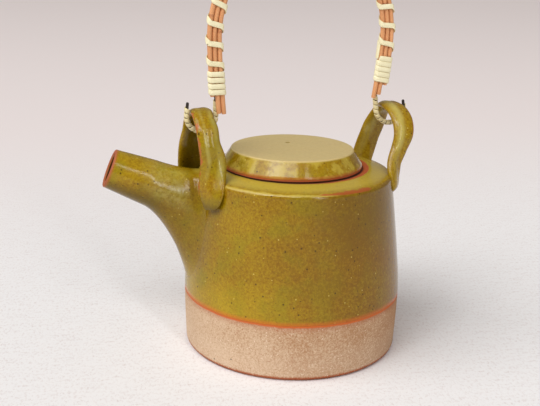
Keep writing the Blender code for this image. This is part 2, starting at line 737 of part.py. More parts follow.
def walk(points, distance):
    """Point and tangent at a distance along a polyline."""
    for k, (a, b) in enumerate(zip(points, points[1:])):
        step = (b - a).length
        if distance <= step or k == len(points) - 2:
            before = points[max(k - 1, 0)]
            after = points[min(k + 2, len(points) - 1)]
            share = min(max(distance / step, 0.0), 1.0)
            tangent = ((b - before).normalized() * (1 - share) + (after - a).normalized() * share)
            return a.lerp(b, share), tangent.normalized()
        distance -= step
    return points[-1], (points[-1] - points[-2]).normalized()


def build_hook(label, side, path, hinge, parts, wire_finish, cane_finish):
    points = hook_points(path, side)
    tube("hook_wire_" + label, points, WIRE_RADIUS, CANE_SIDES_RESOLUTION, hinge, parts, wire_finish)
    total = sum((b - a).length for a, b in zip(points, points[1:]))
    start = sum((b - a).length for a, b in zip(points[:4], points[1:5]))
    end = total - HOOK_TIP_BARE - HOOK_WRAP_WIDTH / 2
    start += HOOK_WRAP_WIDTH / 2
    turns = (end - start) / HOOK_WRAP_PITCH
    stations = round(turns * HOOK_WRAP_POINTS)
    radius = WIRE_RADIUS + HOOK_WRAP_CLEARANCE
    across = Vector((0.0, 1.0, 0.0))
    centres, outlines = [], []
    for k in range(stations + 1):
        centre, tangent = walk(points, start + (end - start) * k / stations)
        normal = Vector((-tangent.z, 0.0, tangent.x))
        angle = math.tau * turns * k / stations
        centres.append((centre, tangent, normal, across))
        outlines.append((radius * math.cos(angle), radius * math.sin(angle)))
    name = "hook_wrap_" + label
    least_gap(name, centres, outlines, HOOK_WRAP_POINTS, HOOK_WRAP_WIDTH / 2)
    ribbon(
        name, centres, outlines, HOOK_WRAP_WIDTH / 2, HOOK_WRAP_THICKNESS, hinge, parts, cane_finish
    )


def build_bail(plane, parts, cane_finish, split_finish, wire_finish):
    hinge = add_empty("bail_hinge", (0.0, 0.0, PIVOT_HEIGHT), 0.0, parts, plane)
    path = BailPath()
    for name, (p, q) in cane_places().items():
        left_rise, right_rise = CANE_END_RISES[name]
        first = path.length_at_rise(left_rise, -1)
        last = path.length_at_rise(right_rise, 1)
        points = []
        for k in range(CANE_POINTS):
            centre, tangent, normal = path.at(first + (last - first) * k / (CANE_POINTS - 1))
            points.append(centre + normal * p + Vector((0.0, q, 0.0)))
        tube("cane_" + name, points, CANE_RADIUS, CANE_SIDES_RESOLUTION, hinge, parts, cane_finish)
    right_length = BAND_PITCH * BAND_STATIONS[1] / STRIP_POINTS
    bands = {
        "left": path.length_at_rise(BAND_RISES[0], -1) + STRIP_WIDTH / 2,
        "right": path.length_at_rise(BAND_RISES[1], 1) - STRIP_WIDTH / 2 - right_length,
    }
    for stations, (label, first) in zip(BAND_STATIONS, bands.items()):
        name = "binding_band_" + label
        winding(name, path, first, BAND_PITCH, stations, 0, True, hinge, parts, split_finish)
    first = path.length_at_rise(SPIRAL_FIRST_RISE, -1)
    last = path.length_at_rise(SPIRAL_LAST_RISE, 1)
    pitch = (last - first) / SPIRAL_TURNS
    front_station = STRIP_POINTS * 3 // 4
    winding(
        "binding_spiral", path, first - pitch * SPIRAL_LEAD_IN_STATIONS / STRIP_POINTS, pitch,
        SPIRAL_TURNS * STRIP_POINTS + SPIRAL_LEAD_IN_STATIONS + SPIRAL_LEAD_OUT_STATIONS,
        front_station - SPIRAL_LEAD_IN_STATIONS, False, hinge, parts, split_finish,
    )
    build_hook("left", -1, path, hinge, parts, wire_finish, split_finish)
    build_hook("right", 1, path, hinge, parts, wire_finish, split_finish)


def main():
    parts, cutters = start_file()
    glaze = material("olive_glaze", (0.30, 0.24, 0.03), 0.25)
    lid_glaze = material("lid_glaze", (0.33, 0.27, 0.05), 0.3)
    cane = material("natural_cane", (0.55, 0.25, 0.12), 0.5)
    split = material("split_cane", (0.80, 0.70, 0.40), 0.55)
    wire = material("black_wire", (0.03, 0.03, 0.03), 0.45, 0.8)
    envelope = as_cutter(turned("pot_envelope", envelope_profile(), POT_STEPS, cutters))
    build_pot(parts, cutters, glaze)
    spout_envelope = build_spout(parts, cutters, envelope, glaze)
    along = Vector((math.cos(HANDLE_TURN), math.sin(HANDLE_TURN), 0.0))
    plane = add_empty("handle_plane", along * HANDLE_OFFSET, HANDLE_TURN, parts)
    build_lug("lug_left", -1, (0, 1), plane, parts, (envelope, spout_envelope), glaze)
    build_lug("lug_right", 1, (2, 3), plane, parts, (envelope,), glaze)
    build_lid(parts, cutters, lid_glaze)
    build_bail(plane, parts, cane, split, wire)


main()
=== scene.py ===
"""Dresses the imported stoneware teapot: glazed pot, lift-off lid, and a cane bail bound with split cane.

Run as a script in Blender. Sizes are in metres, in the frame of the CAD model: +Z up, the origin in the
middle of the foot, the spout towards -X and the front towards -Y.
"""

import math
from bisect import bisect_left, bisect_right
from collections import namedtuple
from functools import partialmethod
from itertools import accumulate

import bmesh
import bpy
from mathutils import Matrix, Vector
from mathutils import noise as lattice_noise


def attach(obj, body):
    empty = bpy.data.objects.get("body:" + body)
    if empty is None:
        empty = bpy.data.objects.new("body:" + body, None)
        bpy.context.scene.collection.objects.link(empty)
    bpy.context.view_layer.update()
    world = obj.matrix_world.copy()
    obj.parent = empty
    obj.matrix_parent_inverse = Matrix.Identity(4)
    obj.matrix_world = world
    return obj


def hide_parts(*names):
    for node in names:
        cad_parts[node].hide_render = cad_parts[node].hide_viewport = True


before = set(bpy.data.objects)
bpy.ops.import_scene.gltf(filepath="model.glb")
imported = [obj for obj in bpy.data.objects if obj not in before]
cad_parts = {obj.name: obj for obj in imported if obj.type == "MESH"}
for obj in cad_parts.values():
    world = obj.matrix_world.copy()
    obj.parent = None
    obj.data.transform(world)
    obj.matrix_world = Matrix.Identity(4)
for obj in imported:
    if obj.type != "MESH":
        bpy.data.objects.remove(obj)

bl_info = {
    "name": "Stoneware teapot",
    "version": (1, 0, 0),
    "blender": (4, 5, 0),
    "location": "View3D > Sidebar > Teapot",
    "description": "Makes a glazed stoneware teapot with a bundled cane bail on its packed CAD frame",
    "category": "Add Mesh",
}

# Millimetres in a metre
MM = 1000.0
# Distance between a cane's joints, in millimetres
CANE_JOINT_SPACING = 61.0
# Distance between the stations of a hook
HOOK_SPACING = 0.0006
BACK = Vector((0.0, 1.0, 0.0))
SIDES = {"left": -1, "right": 1}
# Holes in each row of the strainer, from the bottom up
STRAINER_ROWS = (1, 2, 3, 2, 1)
# Places of the Mix node's sockets for colours, which share their names with others
MIX_SHARE, MIX_LOW, MIX_HIGH, MIX_RESULT = 0, 6, 7, 2
SWEEP_INPUTS = {
    "Path": "Geometry",
    "Half width": "Float",
    "Half thickness": "Float",
    "Sides": "Int",
    "Finish": "Material",
}


# Properties

def length(name, description, default):
    return bpy.props.FloatProperty(
        name=name, description=description, default=default, unit="LENGTH", precision=5
    )


def angle(name, description, degrees):
    return bpy.props.FloatProperty(
        name=name, description=description, default=math.radians(degrees), subtype="ANGLE"
    )


def number(name, description, default):
    return bpy.props.FloatProperty(name=name, description=description, default=default)


def count(name, description, default):
    return bpy.props.IntProperty(name=name, description=description, default=default, min=1)


def colour(name, description, default):
    return bpy.props.FloatVectorProperty(
        name=name, description=description, default=default, subtype="COLOR", size=3, min=0.0, max=1.0
    )


class TeapotPotSettings(bpy.types.PropertyGroup):
    """Sizes of the thrown body."""

    foot_radius: length("Foot radius", "Radius at the table", 0.0640)
    foot_chamfer: length("Foot bevel", "Bevel round the bottom edge", 0.0016)
    belly_radius: length("Belly radius", "Widest radius, at the glaze line", 0.0650)
    belly_height: length("Belly height", "Height of the widest place", 0.0340)
    belly_softness: length("Belly softness", "How gently the belly eases into the taper", 0.0140)
    shoulder_radius: length("Shoulder radius", "Radius where the wall turns over", 0.0574)
    shoulder_height: length("Shoulder height", "Height of the turned edge", 0.1058)
    shoulder_corner: length("Shoulder rounding", "Radius of the turned edge", 0.0030)
    seat_height: length("Seat height", "Height of the flat ring under the lid", 0.1080)
    seat_radius: length("Seat radius", "Where the shoulder meets the flat ring", 0.0445)
    mouth_radius: length("Mouth radius", "Radius of the opening", 0.0362)
    mouth_rounding: length("Mouth rounding", "Rounding of the opening's edges", 0.0012)
    wall: length("Wall", "Thickness of the wall", 0.0048)
    shoulder_wall: length("Shoulder wall", "Thickness of the shoulder", 0.0052)
    floor: length("Floor", "Thickness of the floor", 0.0065)
    floor_fillet: length("Floor fillet", "Rounding inside, between floor and wall", 0.0080)
    hole_radius: length("Strainer hole", "Radius of each pierced hole", 0.0023)
    hole_pitch: length("Strainer pitch", "Distance between pierced holes", 0.0082)
    hole_height: length("Strainer height", "Middle height of the pierced holes", 0.0780)
    waver: number("Waver", "How far the wall strays from round, as a share of its radius", 0.0011)
    steps: count("Steps", "Faces round the pot", 176)


class TeapotSpoutSettings(bpy.types.PropertyGroup):
    """Sizes of the spout."""

    reach: length("Reach", "Distance of the mouth from the axis", 0.1080)
    mouth_height: length("Mouth height", "Height of the middle of the mouth", 0.1090)
    rise: angle("Rise", "Slope of the tube", 22.0)
    mouth_radius: length("Mouth radius", "Outer radius at the mouth", 0.0113)
    tube_length: length("Tube length", "Length of the straight tube", 0.0240)
    tube_radius: length("Tube radius", "Outer radius where the tube starts to flare", 0.0134)
    wall: length("Wall", "Thickness of the tube", 0.0029)
    root_wall: length("Root wall", "How far the inside keeps from the edge of the root", 0.0045)
    lip: length("Lip", "Rounding of the mouth's edge", 0.0010)
    root_drop: length("Root drop", "How far the root reaches down the wall from the shoulder", 0.0598)
    root_lap: length("Root lap", "How far the root laps over the shoulder", 0.0042)
    root_half_width: length("Root half width", "Half of the root's width on the wall", 0.0180)
    tube_pull: length("Tube pull", "How far the flare keeps the tube's direction", 0.0100)
    root_pull: length("Root pull", "How far the flare runs along the wall", 0.0200)
    root_lift: length("Root lift", "How far the flare stands off the wall there", 0.0080)
    side_share: number("Side share", "Share of the pull and lift at the top and sides", 0.15)
    fillet: length("Fillet", "Width of the smoothed joint with the wall at the sides", 0.0105)
    sides: count("Sides", "Faces round the spout", 84)


class TeapotHandleSettings(bpy.types.PropertyGroup):
    """Place of the handle's plane, in which the lugs stand and the bail hangs, and of its hooks."""

    turn: angle("Turn", "Turn of the handle's plane from the spout's", 7.5)
    offset: length("Offset", "How far the handle's middle lies off the axis in its plane", 0.0010)
    pivot_height: length("Pivot height", "Height of the lowest points of the hooks", 0.1309)
    shank: length("Shank distance", "Distance of the hooks' shanks from the handle's middle", 0.0497)
    left_hook: length("Left hook", "Radius of the left hook's bend", 0.0084)
    right_hook: length("Right hook", "Radius of the right hook's bend", 0.0092)


class TeapotLugSettings(bpy.types.PropertyGroup):
    """Sizes of the two strap lugs."""

    crown_height: length("Crown height", "Height of the middle of the crown", 0.1414)
    width: length("Strap width", "Width of the strap at the crown", 0.0126)
    thickness: length("Strap thickness", "Thickness of the strap at the crown", 0.0055)
    squareness: number("Squareness", "How square the strap's section is; 2 is an oval", 2.1)
    groove: length("Groove", "Depth of the finger groove along the strap", 0.00035)
    kneading: length("Kneading", "How far the hand-pressed surface strays", 0.00016)


class TeapotLidSettings(bpy.types.PropertyGroup):
    """Sizes of the lid."""

    radius: length("Radius", "Radius of the rim", 0.0411)
    top_radius: length("Top radius", "Radius of the flat top", 0.0356)
    rim_height: length("Rim height", "Height of the bare rim", 0.0022)
    height: length("Height", "Height above the seat", 0.0108)
    thickness: length("Thickness", "Thickness of the top", 0.0052)
    skirt_radius: length("Skirt radius", "Outer radius of the skirt inside the mouth", 0.0325)
    skirt_thickness: length("Skirt thickness", "Thickness of the skirt", 0.0036)
    skirt_depth: length("Skirt depth", "Depth of the skirt below the seat", 0.0100)
    gap: length("Gap", "Gap between the rim and the seat", 0.0003)
    offset_x: length("Offset to the side", "Where the lid rests off the axis", -0.0022)
    offset_y: length("Offset to the front", "Where the lid rests off the axis", -0.0013)
    hole_radius: length("Steam hole", "Radius of the steam hole", 0.0016)
    hole_setback: length("Steam hole setback", "Distance of the steam hole behind the middle", 0.0120)
    waver: number("Waver", "How far the lid strays from round, as a share of its radius", 0.0008)
    steps: count("Steps", "Faces round the lid", 160)


class TeapotBailSettings(bpy.types.PropertyGroup):
    """Sizes of the cane bail, its binding and its hooks."""

    half_width: length("Half width", "Half width at the widest place", 0.0519)
    left_spread: length("Left spread", "How far the left leg closes above its hook", 0.0022)
    right_spread: length("Right spread", "How far the right leg closes above its hook", 0.0034)
    spread_power: number("Spread power", "How late a leg closes on its way down", 1.5)
    widest_rise: length("Widest rise", "Height of the widest place above the pivot", 0.0520)
    arch_rise: length("Arch rise", "Height of the arch above the widest place", 0.0590)
    cane_radius: length("Cane radius", "Radius of a cane", 0.00137)
    cane_pitch: length("Cane pitch", "Distance between the canes' middles", 0.0028)
    wire_radius: length("Wire radius", "Radius of the hook wire", 0.00085)
    wrap_rise: length("Wrap rise", "Rise above the pivot at which a hook leaves the bundle", 0.0173)
    root_rise: length("Root rise", "Rise above the pivot at which a wire ends in the bundle", 0.0320)
    left_tip_rise: length("Left tip rise", "Rise of the left hook's tip", 0.0164)
    right_tip_rise: length("Right tip rise", "Rise of the right hook's tip", 0.0135)
    tip_lean: length("Tip lean", "How far a hook's tip leans in", 0.0006)
    strip_width: length("Strip width", "Width of the split cane", 0.0031)
    strip_thickness: length("Strip thickness", "Thickness of the split cane", 0.00085)
    strip_gap: length("Strip gap", "Gap between the split cane and the bundle", 0.0001)
    spiral_turns: count("Spiral turns", "Turns between the first and the last front crossing", 18)
    first_rise: length("First crossing", "Rise of the spiral's first front crossing, left leg", 0.0378)
    last_rise: length("Last crossing", "Rise of the spiral's last front crossing, right leg", 0.0473)
    tail_start: length("Tail start", "Rise of the tail's start above the last crossing", 0.0020)
    tail_end: length("Tail end", "Rise of the tail's end above the right band's lower edge", 0.0140)
    left_band_rise: length("Left band rise", "Rise of the left band's lower edge", 0.0200)
    left_band_pitch: length("Left band pitch", "Distance between the left band's turns", 0.00335)
    left_band_turns: number("Left band turns", "Turns of the left band", 3.42)
    right_band_rise: length("Right band rise", "Rise of the right band's lower edge", 0.0247)
    right_band_pitch: length("Right band pitch", "Distance between the right band's turns", 0.00308)
    right_band_turns: number("Right band turns", "Turns of the right band", 4.25)
    wrap_width: length("Wrap width", "Width of the split cane round the hooks", 0.0025)
    wrap_pitch: length("Wrap pitch", "Pitch of the split cane round the hooks", 0.0028)
    wrap_thickness: length("Wrap thickness", "Thickness of the split cane round the hooks", 0.00064)
    wrap_lift: length("Wrap lift", "How far that split cane's middle lies off the wire", 0.00042)
    bare_tip: length("Bare tip", "Length of wire left bare at a hook's tip", 0.0034)


class TeapotFinishSettings(bpy.types.PropertyGroup):
    """Colours and surface values of the finishes."""

    glaze_deep: colour("Deep glaze", "Ochre olive glaze where it is thick", (0.218, 0.098, 0.001))
    # Its share on the body is painted light: more of it to the left, low down and on the shoulder.
    glaze_light: colour("Light glaze", "Yellow-green glaze where it is thin", (0.440, 0.285, 0.008))
    glaze_green: colour("Green glaze", "Greener drifts in the glaze", (0.235, 0.205, 0.004))
    # Paints highlights on the ridges of the lugs and on the flank of the spout's root.
    painted_highlight: colour("Thin glaze", "Pale yellow-green glaze, thin over a ridge", (0.580, 0.500, 0.140))
    shoulder: colour("Shoulder glaze", "Pale glaze on the shoulder", (0.560, 0.420, 0.060))
    # Partly a painted reflection of the sky on the satin top.
    lid_top: colour("Lid top", "Pale satin glaze on the flat top of the lid", (0.700, 0.545, 0.248))
    # Pooled glaze that also paints shade: in the spout's joint, under its tube, on the upper body and low
    # on the lugs.
    pooled_glaze_and_shade: colour("Pooled glaze", "Thick dark glaze in the joint of the spout", (0.120, 0.075, 0.003))
    # Paints shade on the inner faces of the straps.
    shade: colour("Inner glaze", "Dark glaze on the inner faces of the straps", (0.035, 0.028, 0.003))
    glaze_break: colour("Glaze break", "Red-brown glaze, broken over an edge", (0.420, 0.110, 0.024))
    speck_dark: colour("Dark speck", "Iron specks in the glaze", (0.050, 0.020, 0.004))
    # Also paints the highlight along the shoulder's edge on the left.
    pale_speck_and_highlight: colour("Pale speck", "Small pale dots in the glaze", (0.620, 0.480, 0.100))
    clay: colour("Clay", "Bare clay round the foot", (0.640, 0.455, 0.300))
    # Also paints shade, darker towards the right of the bare clay.
    clay_deep_and_shade: colour("Deep clay", "Darker patches of the bare clay", (0.420, 0.215, 0.100))
    grog: colour("Grog", "Pale grains in the bare clay", (0.820, 0.660, 0.500))
    seat: colour("Seat", "Orange-red bare clay of the seat", (0.430, 0.085, 0.018))
    flash: colour("Flashing", "Orange line where the glaze ends", (0.600, 0.120, 0.012))
    bare_edge: colour("Bare edge", "Red-brown clay of rims and edges", (0.360, 0.075, 0.018))
    # Painted shade: darker than the bare clay, for the shade inside the bore.
    spout_inside: colour("Inside of the spout", "Dark red-brown inside the spout", (0.085, 0.026, 0.012))
    cane_light: colour("Light cane", "Natural cane", (0.800, 0.380, 0.160))
    cane_deep: colour("Deep cane", "Darker streaks of the natural cane", (0.500, 0.185, 0.060))
    cane_end: colour("Cane end", "Red-brown cut ends of the canes", (0.330, 0.090, 0.035))
    split_light: colour("Light split cane", "Peeled split cane", (0.900, 0.830, 0.560))
    split_deep: colour("Deep split cane", "Edges and fibres of the split cane", (0.700, 0.560, 0.250))
    # Also paints shadow: on the seat round the lid and under the lid's rim.
    knot_and_shadow: colour("Knot", "Dark knots in the cane", (0.045, 0.018, 0.010))
    wire: colour("Wire", "Black annealed wire", (0.020, 0.018, 0.016))
    wire_scale: colour("Wire scale", "Greyer scale on the wire", (0.075, 0.060, 0.050))
    glaze_line: length("Glaze line", "Height of the glaze line", 0.0337)
    glaze_roughness: number("Glaze roughness", "Roughness of the glaze", 0.17)
    clay_roughness: number("Clay roughness", "Roughness of the bare clay", 0.86)


class TeapotStageSettings(bpy.types.PropertyGroup):
    """Floor, lights and camera."""

    floor_colour: colour("Floor", "Pale floor", (0.860, 0.835, 0.825))
    thread_colour: colour("Threads", "Darker threads in the floor's weave", (0.600, 0.500, 0.470))
    far_floor_colour: colour("Far floor", "Pale floor further away", (0.862, 0.775, 0.755))
    sky_colour: colour("Sky", "Soft light from all round", (1.000, 0.925, 0.880))
    sky_strength: number("Sky strength", "Strength of the soft light", 0.28)
    window_colour: colour("Window light", "Light of the two windows", (0.950, 0.980, 1.000))
    daylight_colour: colour("Daylight", "Light of the hazy sun", (0.970, 0.990, 1.000))
    daylight: number("Daylight strength", "Strength of the hazy sun", 1.7)
    camera_place: bpy.props.FloatVectorProperty(
        name="Camera place", description="Where the camera stands", subtype="TRANSLATION",
        default=(-0.11653, -0.48019, 0.23071),
    )
    camera_aim: bpy.props.FloatVectorProperty(
        name="Camera aim", description="What the camera looks at", subtype="TRANSLATION",
        default=(-0.01384, 0.00294, 0.0840),
    )
    camera_roll: angle("Camera roll", "Tilt of the camera about its view", 1.431)
    lens: number("Lens", "Focal length in millimetres on a sensor 36 mm wide", 57.39)


SETTINGS = {
    "pot": TeapotPotSettings,
    "spout": TeapotSpoutSettings,
    "handle": TeapotHandleSettings,
    "lugs": TeapotLugSettings,
    "lid": TeapotLidSettings,
    "bail": TeapotBailSettings,
    "finish": TeapotFinishSettings,
    "stage": TeapotStageSettings,
}


def settings(name):
    """The scene's settings for one part of the teapot."""
    return getattr(bpy.context.scene, "teapot_" + name)


# Node trees

class Value:
    """A node's output that takes part in arithmetic: each operation adds a Math node."""

    def __init__(self, tree, socket):
        self.tree = tree
        self.socket = socket

    def operate(self, operation, *others, clamp=False):
        options = {"operation": operation, "use_clamp": clamp}
        return self.tree.node("ShaderNodeMath", options, (self, *others))

    def reflected(self, operation, other):
        return self.tree.node("ShaderNodeMath", {"operation": operation}, (other, self))

    __add__ = partialmethod(operate, "ADD")
    __radd__ = partialmethod(reflected, "ADD")
    __sub__ = partialmethod(operate, "SUBTRACT")
    __rsub__ = partialmethod(reflected, "SUBTRACT")
    __mul__ = partialmethod(operate, "MULTIPLY")
    __rmul__ = partialmethod(reflected, "MULTIPLY")
    __pow__ = partialmethod(operate, "POWER")
    __rpow__ = partialmethod(reflected, "POWER")
    __lt__ = partialmethod(operate, "LESS_THAN")
    __gt__ = partialmethod(operate, "GREATER_THAN")
    __abs__ = partialmethod(operate, "ABSOLUTE")
    at_least = partialmethod(operate, "MAXIMUM")
    sine = partialmethod(operate, "SINE")
    clamped = partialmethod(operate, "ADD", 0.0, clamp=True)


class Tree:
    """A node tree with one method that adds any node."""

    def __init__(self, tree):
        self.tree = tree

    def node(self, kind, options=None, inputs=(), output=0):
        """Adds a node, whose inputs are named in a dictionary or follow its sockets' order in a tuple."""
        made = self.tree.nodes.new(kind)
        for key, value in (options or {}).items():
            setattr(made, key, value)
        for key, value in inputs.items() if isinstance(inputs, dict) else enumerate(inputs):
            self.feed(made.inputs[key], value)
        return Value(self, made.outputs[output])

    def feed(self, socket, value):
        """Links a value to a socket, or sets the socket to a number, a vector or a red, green and blue."""
        if isinstance(value, Value):
            self.tree.links.new(value.socket, socket)
        else:
            socket.default_value = (*value, 1.0) if socket.type == "RGBA" else value

    def parts(self, vector):
        """The three numbers of a vector."""
        first = self.node("ShaderNodeSeparateXYZ", {}, (vector,))
        return [Value(self, socket) for socket in first.socket.node.outputs]

    def vector(self, x, y, z):
        return self.node("ShaderNodeCombineXYZ", {}, (x, y, z))


class Finish(Tree):
    """A Principled material. Its lengths are in millimetres of Object coordinates."""

    def __init__(self, name):
        self.material = bpy.data.materials.new(name)
        self.material.use_nodes = True
        super().__init__(self.material.node_tree)
        self.look = settings("finish")
        place = self.node("ShaderNodeTexCoord", output="Object")
        self.place = self.node("ShaderNodeVectorMath", {"operation": "SCALE"}, {0: place, "Scale": MM})
        self.x, self.y, self.z = self.parts(self.place)

    def set(self, **values):
        """Feeds the shader's sockets, named with underscores for spaces, and returns the material."""
        shader = self.tree.nodes["Principled BSDF"]
        for key, value in values.items():
            self.feed(shader.inputs[key.replace("_", " ")], value)
        return self.material

    def own(self, name, output=2):
        """The piece's own attribute of a name: a number, or with output 1 a vector."""
        return self.node("ShaderNodeAttribute", {"attribute_name": name}, (), output)

    def measure(self, operation, *vectors):
        """A number worked out from vectors."""
        return self.node("ShaderNodeVectorMath", {"operation": operation}, vectors, output="Value")

    def step(self, value, low, high):
        """0 below low and 1 above high, smoothly; a high below low turns it round."""
        if high < low:
            return 1.0 - self.step(value, high, low)
        return self.node(
            "ShaderNodeMapRange", {"interpolation_type": "SMOOTHSTEP"},
            {"Value": value, "From Min": low, "From Max": high},
        )

    def noise(self, size, detail=2.0, roughness=0.5, place=None):
        """Soft noise from 0 to 1 with features of a size."""
        return self.node(
            "ShaderNodeTexNoise", {},
            {"Vector": place or self.place, "Scale": 1.0 / size, "Detail": detail, "Roughness": roughness},
        )

    def stray(self, *size_and_more):
        """Soft noise from -0.5 to 0.5, in the same terms."""
        return self.noise(*size_and_more) - 0.5

    def dots(self, pitch, radius, share, place=None):
        """Scattered round dots: about one in each cube of the pitch, of which a share is kept."""
        cells = self.node(
            "ShaderNodeTexVoronoi", {"feature": "F1"},
            {"Vector": place or self.place, "Scale": 1.0 / pitch},
        )
        outputs = cells.socket.node.outputs
        chance = self.parts(Value(self, outputs["Color"]))[0]
        edge = radius / pitch
        return self.step(Value(self, outputs["Distance"]), edge, edge * 0.6) * (chance < share)

    def mix(self, low, high, share):
        """Blends two colours by a share."""
        inputs = {MIX_SHARE: share, MIX_LOW: low, MIX_HIGH: high}
        return self.node("ShaderNodeMix", {"data_type": "RGBA"}, inputs, MIX_RESULT)

    def coats(self, base, *coats):
        """A colour under coats, each of them the name of a colour and its share from 0 to 1."""
        for name, share in coats:
            base = self.mix(base, getattr(self.look, name), share)
        return base

    def bump(self, height, depth, normal=None):
        """A bump of a height from 0 to 1, as deep as a depth in millimetres."""
        inputs = {"Height": height, "Distance": depth / MM, "Strength": 1.0}
        if normal:
            inputs["Normal"] = normal
        return self.node("ShaderNodeBump", {}, inputs)


class Stoneware(Finish):
    """Olive glaze over clay, which the pot, spout, lugs and lid share.

    Its x, y and z are a place in millimetres, and above is the height above the edge of the shoulder.
    """

    def __init__(self, name):
        super().__init__(name)
        pot = settings("pot")
        self.radius = (self.x * self.x + self.y * self.y) ** 0.5
        self.above = self.z - pot.shoulder_height * MM
        self.seat, self.seat_radius = pot.seat_height * MM, pot.seat_radius * MM
        self.shoulder_radius, self.mouth_radius = pot.shoulder_radius * MM, pot.mouth_radius * MM

    def glaze(self, light):
        """Colour of the glaze, where light from 0 to 1 moves it from ochre olive to yellow-green."""
        share = (light + self.stray(24.0) * 0.55 + self.stray(1.3, 3.0, 0.75) * 1.9).clamped()
        drift = self.step(self.noise(15.0, 3.0, 0.6, self.vector(self.y, self.z, self.x)), 0.42, 0.66)
        grain = self.step(self.noise(0.75, 2.0, 0.6), 0.54, 0.70)
        specks = (self.dots(3.8, 0.62, 0.60) * 0.85 + self.dots(2.3, 0.36, 0.55) * 0.5).clamped()
        return self.coats(
            self.look.glaze_deep,
            ("glaze_light", share),
            # The greener drifts are the glaze's own tone; their bigger share to the left is painted light.
            ("glaze_green", drift * (self.step(self.x, 40.0, -40.0) * 0.3 + 0.12)),
            ("speck_dark", grain * 0.26),
            ("speck_dark", specks),
            ("pale_speck_and_highlight", self.dots(4.4, 0.46, 0.6) * 0.85),
        )

    def body_glaze(self):
        """The glaze of the body and the spout's root: painted light makes it paler to the left, on the
        shoulder and low down.
        """
        x, z, above, step = self.x, self.z, self.above, self.step
        left = step(x, 25.0, -45.0)
        low = step(z, 64.0, 38.0)
        # Painted light: the share of light glaze grows to the left, low down (most on the left) and on the
        # shoulder.
        light = 0.03 + left * 0.33 + low * (left * 0.30 + 0.06) + step(above, -3.8, 0.2) * 0.25
        # Painted shade: the pooled colour darkens the upper body from the middle to the right, below the
        # shoulder's edge.
        painted_upper_shade = step(x, -38.0, 22.0) * step(z, 60.0, 97.0) * step(above, 0.2, -2.3)
        pale = step(above, -0.6, 1.0) * step(self.radius - self.shoulder_radius, 4.6, 0.6)
        # Partly pooled glaze, partly painted shade: the pooled colour darkens the joint of the spout's
        # root with the wall.
        joint = step(abs(self.y) - 12.0, 26.0, 8.0) * step(x, -30.0, -47.0)
        joint = joint * step(z, 42.0, 62.0) * step(above, -0.8, -11.8)
        return self.coats(
            self.glaze(light), ("pooled_glaze_and_shade", painted_upper_shade * 0.35), ("shoulder", pale * 0.6), ("pooled_glaze_and_shade", joint * 0.36)
        )

    def bare_clay(self, warm=0.9):
        """Colour of bare clay, where warm from 0 to 1 reddens it, with painted shade darker towards the
        right.
        """
        sand = self.stray(15.0, 3.0, 0.6) * 0.9 + self.stray(1.0, 4.0, 0.85) * 5.0
        # Painted shade: the bare clay grows darker towards the right.
        painted_right_shade = self.step(self.x, -55.0, 5.0) * 0.50 + self.step(self.x, 30.0, 64.0) * 0.42
        return self.coats(
            self.look.clay,
            ("clay_deep_and_shade", (sand + 0.15 + painted_right_shade).clamped()),
            ("grog", self.dots(2.1, 0.38, 0.5) * 0.9),
            ("bare_edge", self.dots(3.3, 0.36, 0.6) * 0.75),
            ("knot_and_shadow", self.dots(9.0, 0.65, 0.4) * 0.85),
            ("bare_edge", warm),
        )

    def from_lid(self):
        """Distance outwards from the rim of the lid, seen from above."""
        lid = settings("lid")
        x, y = self.x - lid.offset_x * MM, self.y - lid.offset_y * MM
        return (x * x + y * y) ** 0.5 - lid.radius * MM

    def dress(self, cover, glaze_colour, clay_colour, satin=0.0):
        """Makes the finish from its colours: cover is 1 under glaze and 0 on bare clay."""
        clay_roughness, glaze_roughness = self.look.clay_roughness, self.look.glaze_roughness + satin
        under = self.bump(self.noise(5.0) * 0.75 + self.noise(1.3) * 0.25, 0.16)
        grit = self.bump(self.noise(0.7, 3.0, 0.7) * (1.0 - cover), 0.22, under)
        return self.set(
            Base_Color=self.mix(clay_colour, glaze_colour, cover),
            Roughness=clay_roughness - cover * (clay_roughness - glaze_roughness),
            Specular_IOR_Level=0.31,
            Normal=self.bump(cover, 0.30, grit),
        )


